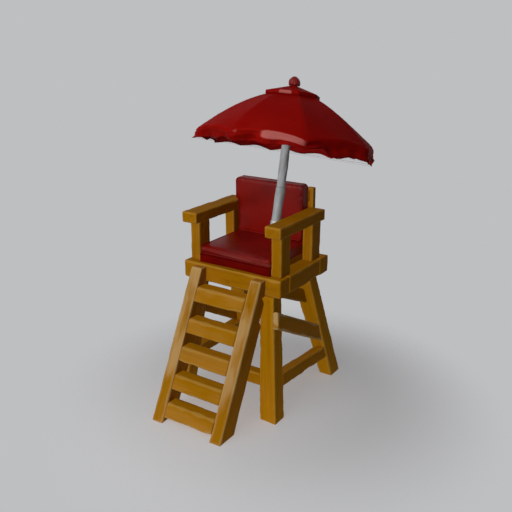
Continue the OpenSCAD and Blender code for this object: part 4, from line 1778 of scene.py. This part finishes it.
@dataclass
class Fittings:
    """The holder, runner and crown: turned and folded steel with eased edges."""

    bright: tuple[str, ...] = ("umbrella_holder",)
    dull: tuple[str, ...] = ("umbrella_runner", "umbrella_crown")
    ease: float = 0.0012
    sharp: float = math.radians(35)

    def build(self, finish: bpy.types.Material, zinc: bpy.types.Material) -> list[bpy.types.Object]:
        """Makes the three fittings.

        Args:
            finish: The hidden fittings' finish.
            zinc: The holder's finish.

        Returns:
            The pieces.
        """
        made = []
        for node in self.bright + self.dull:
            piece = joined([mesh_of(solid, node) for solid in solids_of(node)], f"steel_{node}")
            bevel = piece.modifiers.new("eased", "BEVEL")
            bevel.width = self.ease
            bevel.segments = 2
            bevel.limit_method = "ANGLE"
            bevel.angle_limit = self.sharp
            settled(piece)
            piece.data.set_sharp_from_angle(angle=self.sharp)
            coat(piece, zinc if node in self.bright else finish)
            made.append(mounted(piece, node))
        return made


@dataclass
class Ball:
    """The lumpy painted ball on top, with its neck."""

    radius: float = 0.047
    lump: float = 0.006
    voxel: float = 0.0035
    calm: float = 0.02
    softening: int = 2

    def build(self, line: Leaning, finish: bpy.types.Material) -> bpy.types.Object:
        """Makes the ball and its neck as one closed shape.

        Args:
            line: The pole's line.
            finish: The paint.

        Returns:
            The piece.
        """
        low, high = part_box("umbrella_ball")
        up = line.matrix().to_3x3() @ Vector((0, 0, 1))
        foot = Vector(line.foot)
        top = Vector(((low.x + high.x) / 2, high.y - self.radius, high.z - self.radius))
        middle = foot + up * (top - foot).dot(up)
        mesh = remeshed(mesh_of(solids_of("umbrella_ball")[0], "umbrella_ball"), self.voxel)
        rows = coordinates(mesh)
        reach = rows - np.array(middle)
        size = np.linalg.norm(reach, axis=1)
        broad, fine, drift = 34, 80, Vector((5, 2, 9))
        dents = np.array([noise.noise(Vector(r) * broad + drift) + 0.4 * noise.noise(Vector(r) * fine)
                          for r in reach])
        cut = self.lump * np.clip(0.35 + dents, 0, 1) * np.clip(size / self.calm - 1, 0, 1)
        set_coordinates(mesh, rows - reach / np.maximum(size, 1e-6)[:, None] * cut[:, None])
        piece = link(bpy.data.objects.new("ball", mesh))
        eased(piece, self.softening)
        smooth(piece.data)
        coat(piece, finish)
        return mounted(piece, "umbrella_ball")


@dataclass
class Umbrella:
    """The whole umbrella: pole, fittings, frame, canopy, vent cap and ball."""

    line: Leaning = field(default_factory=Leaning)
    pole: Pole = field(default_factory=Pole)
    fittings: Fittings = field(default_factory=Fittings)
    frame: Frame = field(default_factory=Frame)
    ball: Ball = field(default_factory=Ball)
    # The canopy's and the cap's bleached spots are painted highlights.
    canopy: Sheet = field(default_factory=lambda: Sheet(
        "canopy", "umbrella_canopy", base=0.0, hole=0.110, radius=DOME_RADIUS, turn=0.965, rise=DOME_RISE,
        power=DOME_POWER, arch=0.040, drop=0.060, flare=0.006, scallop=0.018, flute=0.010, sag=0.006,
        tucked=((4.12, 5.42),), tucked_by=0.048, crumple=0.075, lifted=(5.36, 6.04, 0.030),
        low=(6.25, 8.3, 0.030), painted_highlight=((5.35, 6.06, 0.81, 0.95), (4.96, 5.14, 0.77, 0.88))))
    cap: Sheet = field(default_factory=lambda: Sheet(
        "vent_cap", "umbrella_vent_cap", base=0.0, hole=0.0184, radius=0.208, turn=1.0, rise=0.062,
        power=1.0, arch=0.0, drop=0.024, flare=0.0, scallop=0.0, flute=0.003, sag=0.0,
        painted_highlight=((5.02, 5.76, 0.76, 1.05),), dome_rows=14, skirt_rows=4, columns=10, seed=8.0))
    zinc: Steel = field(default_factory=lambda: Steel(name="new zinc", colour="c4c7c8", dull="a4a7a9"))
    cap_gap: float = 0.006

    def build(self, pole: bpy.types.Material, metal: bpy.types.Material, cloth: bpy.types.Material,
              thread: bpy.types.Material, paint: bpy.types.Material) -> list[bpy.types.Object]:
        """Makes every piece of the umbrella.

        Args:
            pole: The pole's enamel.
            metal: The fittings' steel.
            cloth: The canopy's canvas.
            thread: The sewing thread.
            paint: The ball's paint.

        Returns:
            The pieces.
        """
        dome = self.canopy
        edge_z = dome.rise * (1 - (self.cap.radius / dome.radius) ** dome.power) + self.cap_gap
        self.cap.base = edge_z + self.cap.drop
        made = self.pole.build(self.line, pole) + self.fittings.build(metal, self.zinc.material())
        made += self.frame.build(self.line, metal)
        top = self.canopy.build(self.line, cloth)
        cap = self.cap.build(self.line, cloth)
        ball = self.ball.build(self.line, paint)
        sewn = stitches("canopy_stitches", self.canopy.lines["hem"] + self.canopy.lines["seams"], thread)
        cap_sewn = stitches("vent_cap_stitches", self.cap.lines["hem"], thread)
        return made + [top, cap, ball, sewn, cap_sewn]


# --------------------------------------------------------------------- studio


@dataclass
class Studio:
    """The camera, the pale floor and the soft lamps."""

    eye: tuple[float, float, float] = field(default_factory=lambda: from_deck(2.869943, -4.354404, 2.9213))
    turn: float = math.radians(33.4887)
    pitch: float = math.radians(18.853)
    lens: float = 46.95
    sensor: float = 36
    backdrop: tuple[float, float, float] = (0.515, 0.521, 0.534)
    ambient: float = 0.10
    key_way: tuple[float, float, float] = (-0.14, -0.845, 0.515)
    key_level: float = 0.93
    key_shadow: float = 0.15
    key_far: float = 8.0
    key_size: float = 6.5
    aim: float = 1.2
    floor_radius: float = 9
    floor_fades: tuple[float, float] = (0.8, 2.0)

    def camera(self) -> None:
        """Places the camera and makes it the scene's own."""
        data = bpy.data.cameras.new("camera")
        data.lens = self.lens
        data.sensor_width = self.sensor
        level = math.cos(self.pitch)
        back = Vector((math.sin(self.turn) * level, -math.cos(self.turn) * level, math.sin(self.pitch)))
        eye = link(bpy.data.objects.new("camera", data))
        eye.location = self.eye
        eye.rotation_euler = (-back).to_track_quat("-Z", "Y").to_euler()
        bpy.context.scene.camera = eye

    def lamp(self, name: str, way: Vector, level: float, far: float, size: float, shadow: bool) -> None:
        """Hangs a square lamp that looks at the chair.

        Args:
            name: The lamp's name.
            way: From the chair towards the lamp.
            level: How bright a white surface that faces it becomes.
            far: How far away it is.
            size: Its side.
            shadow: Whether the chair shades itself from it.
        """
        data = bpy.data.lights.new(name, "AREA")
        data.use_shadow = shadow
        data.shape = "SQUARE"
        data.size = size
        data.energy = level * math.pi * math.pi * far * far
        lamp = link(bpy.data.objects.new(name, data))
        lamp.location = Vector((0, 0, self.aim)) + way.normalized() * far
        lamp.rotation_euler = way.to_track_quat("Z", "Y").to_euler()

    def world(self) -> None:
        """Sets the plain light from all round and the pale surroundings that are seen."""
        world = bpy.data.worlds.new("surroundings")
        bpy.context.scene.world = world
        world.use_nodes = True
        tree = world.node_tree
        tree.nodes.clear()
        path = tree.nodes.new("ShaderNodeLightPath")
        seen = (Number(tree, path.outputs["Is Camera Ray"])
                .does("MAXIMUM", Number(tree, path.outputs["Is Glossy Ray"]))
                .does("MAXIMUM", Number(tree, path.outputs["Is Transmission Ray"])))
        light, view = (tree.nodes.new("ShaderNodeBackground") for _ in range(2))
        light.inputs["Color"].default_value = (1.0, 0.99, 0.98, 1)
        light.inputs["Strength"].default_value = self.ambient
        view.inputs["Color"].default_value = self.backdrop + (1,)
        view.inputs["Strength"].default_value = 1.0
        mix = tree.nodes.new("ShaderNodeMixShader")
        end = tree.nodes.new("ShaderNodeOutputWorld")
        tree.links.new(seen.socket, mix.inputs[0])
        tree.links.new(light.outputs[0], mix.inputs[1])
        tree.links.new(view.outputs[0], mix.inputs[2])
        tree.links.new(mix.outputs[0], end.inputs[0])

    def floor(self) -> None:
        """Lays a pale floor that fades into the surroundings."""
        shape = bmesh.new()
        bmesh.ops.create_circle(shape, cap_ends=True, segments=96, radius=self.floor_radius)
        mesh = bpy.data.meshes.new("floor")
        shape.to_mesh(mesh)
        shape.free()
        floor = link(bpy.data.objects.new("floor", mesh))
        paint = Paints("pale floor")
        where = paint.place()
        length = paint.node("ShaderNodeVectorMath", {"operation": "LENGTH"})
        paint.tree.links.new(where, length.inputs[0])
        fade = paint.between(Number(paint.tree, length.outputs["Value"]), *self.floor_fades)
        paint.set(Base_Color=(0.80, 0.808, 0.826, 1), Roughness=0.9, Specular_IOR_Level=0.0)
        clear = paint.node("ShaderNodeBsdfTransparent")
        mix = paint.node("ShaderNodeMixShader")
        end = paint.tree.nodes["Material Output"]
        paint.tree.links.new(fade.socket, mix.inputs[0])
        paint.tree.links.new(paint.shader.outputs[0], mix.inputs[1])
        paint.tree.links.new(clear.outputs[0], mix.inputs[2])
        paint.tree.links.new(mix.outputs[0], end.inputs[0])
        mesh.materials.append(paint.material)

    def build(self) -> None:
        """Sets up the whole studio."""
        self.camera()
        self.world()
        self.floor()
        way, share = Vector(self.key_way), self.key_shadow
        self.lamp("key", way, self.key_level * share, self.key_far, self.key_size, True)
        self.lamp("fill", way, self.key_level * (1 - share), self.key_far, self.key_size, False)
        bpy.context.scene.view_settings.view_transform = "Standard"


def report(title: str, pieces: list[bpy.types.Object]) -> None:
    """Logs each piece with its number of faces."""
    for piece in pieces:
        log.info("%s: %s, %d faces", title, piece.name, len(piece.data.polygons))


def main() -> None:
    """Builds the chair piece by piece, then the studio."""
    logging.basicConfig(level=logging.INFO, format="%(message)s")
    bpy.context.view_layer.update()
    wood = StainedWood().material()
    # The rails and treads take pale patches on their front faces: painted highlight as well as rubbing.
    pale = StainedWood(name="rubbed wood", bare_and_highlight="ba9660", rub_and_sheen_patches=0.85, foot=0.8).material()
    vinyl = Vinyl().material()
    steps = StainedWood(name="trodden and highlit wood", bare_and_highlight="b58c46", rub_and_sheen_patches=0.25).material()
    split = StainedWood(name="split wood", bare_and_highlight="ba9660", worn=1.0).material()
    # Painted light: a lighter copy of the wood for the legs, against the shade of the deck above them.
    legs = StainedWood(name="lit leg wood", stain="ac7602", deep="8a5802", warm="b47704").material()
    report("tower", Tower().build(wood, legs, split))
    report("ladder", Ladder().build(pale, steps))
    report("seat", Seat().build(wood))
    report("cushions", Cushions().build(vinyl))
    report("umbrella", Umbrella().build(PoleEnamel().material(), Steel().material(), Canvas().material(),
                                        Thread().material(), BallPaint().material()))
    Studio().build()


if __name__ == "__main__":
    main()
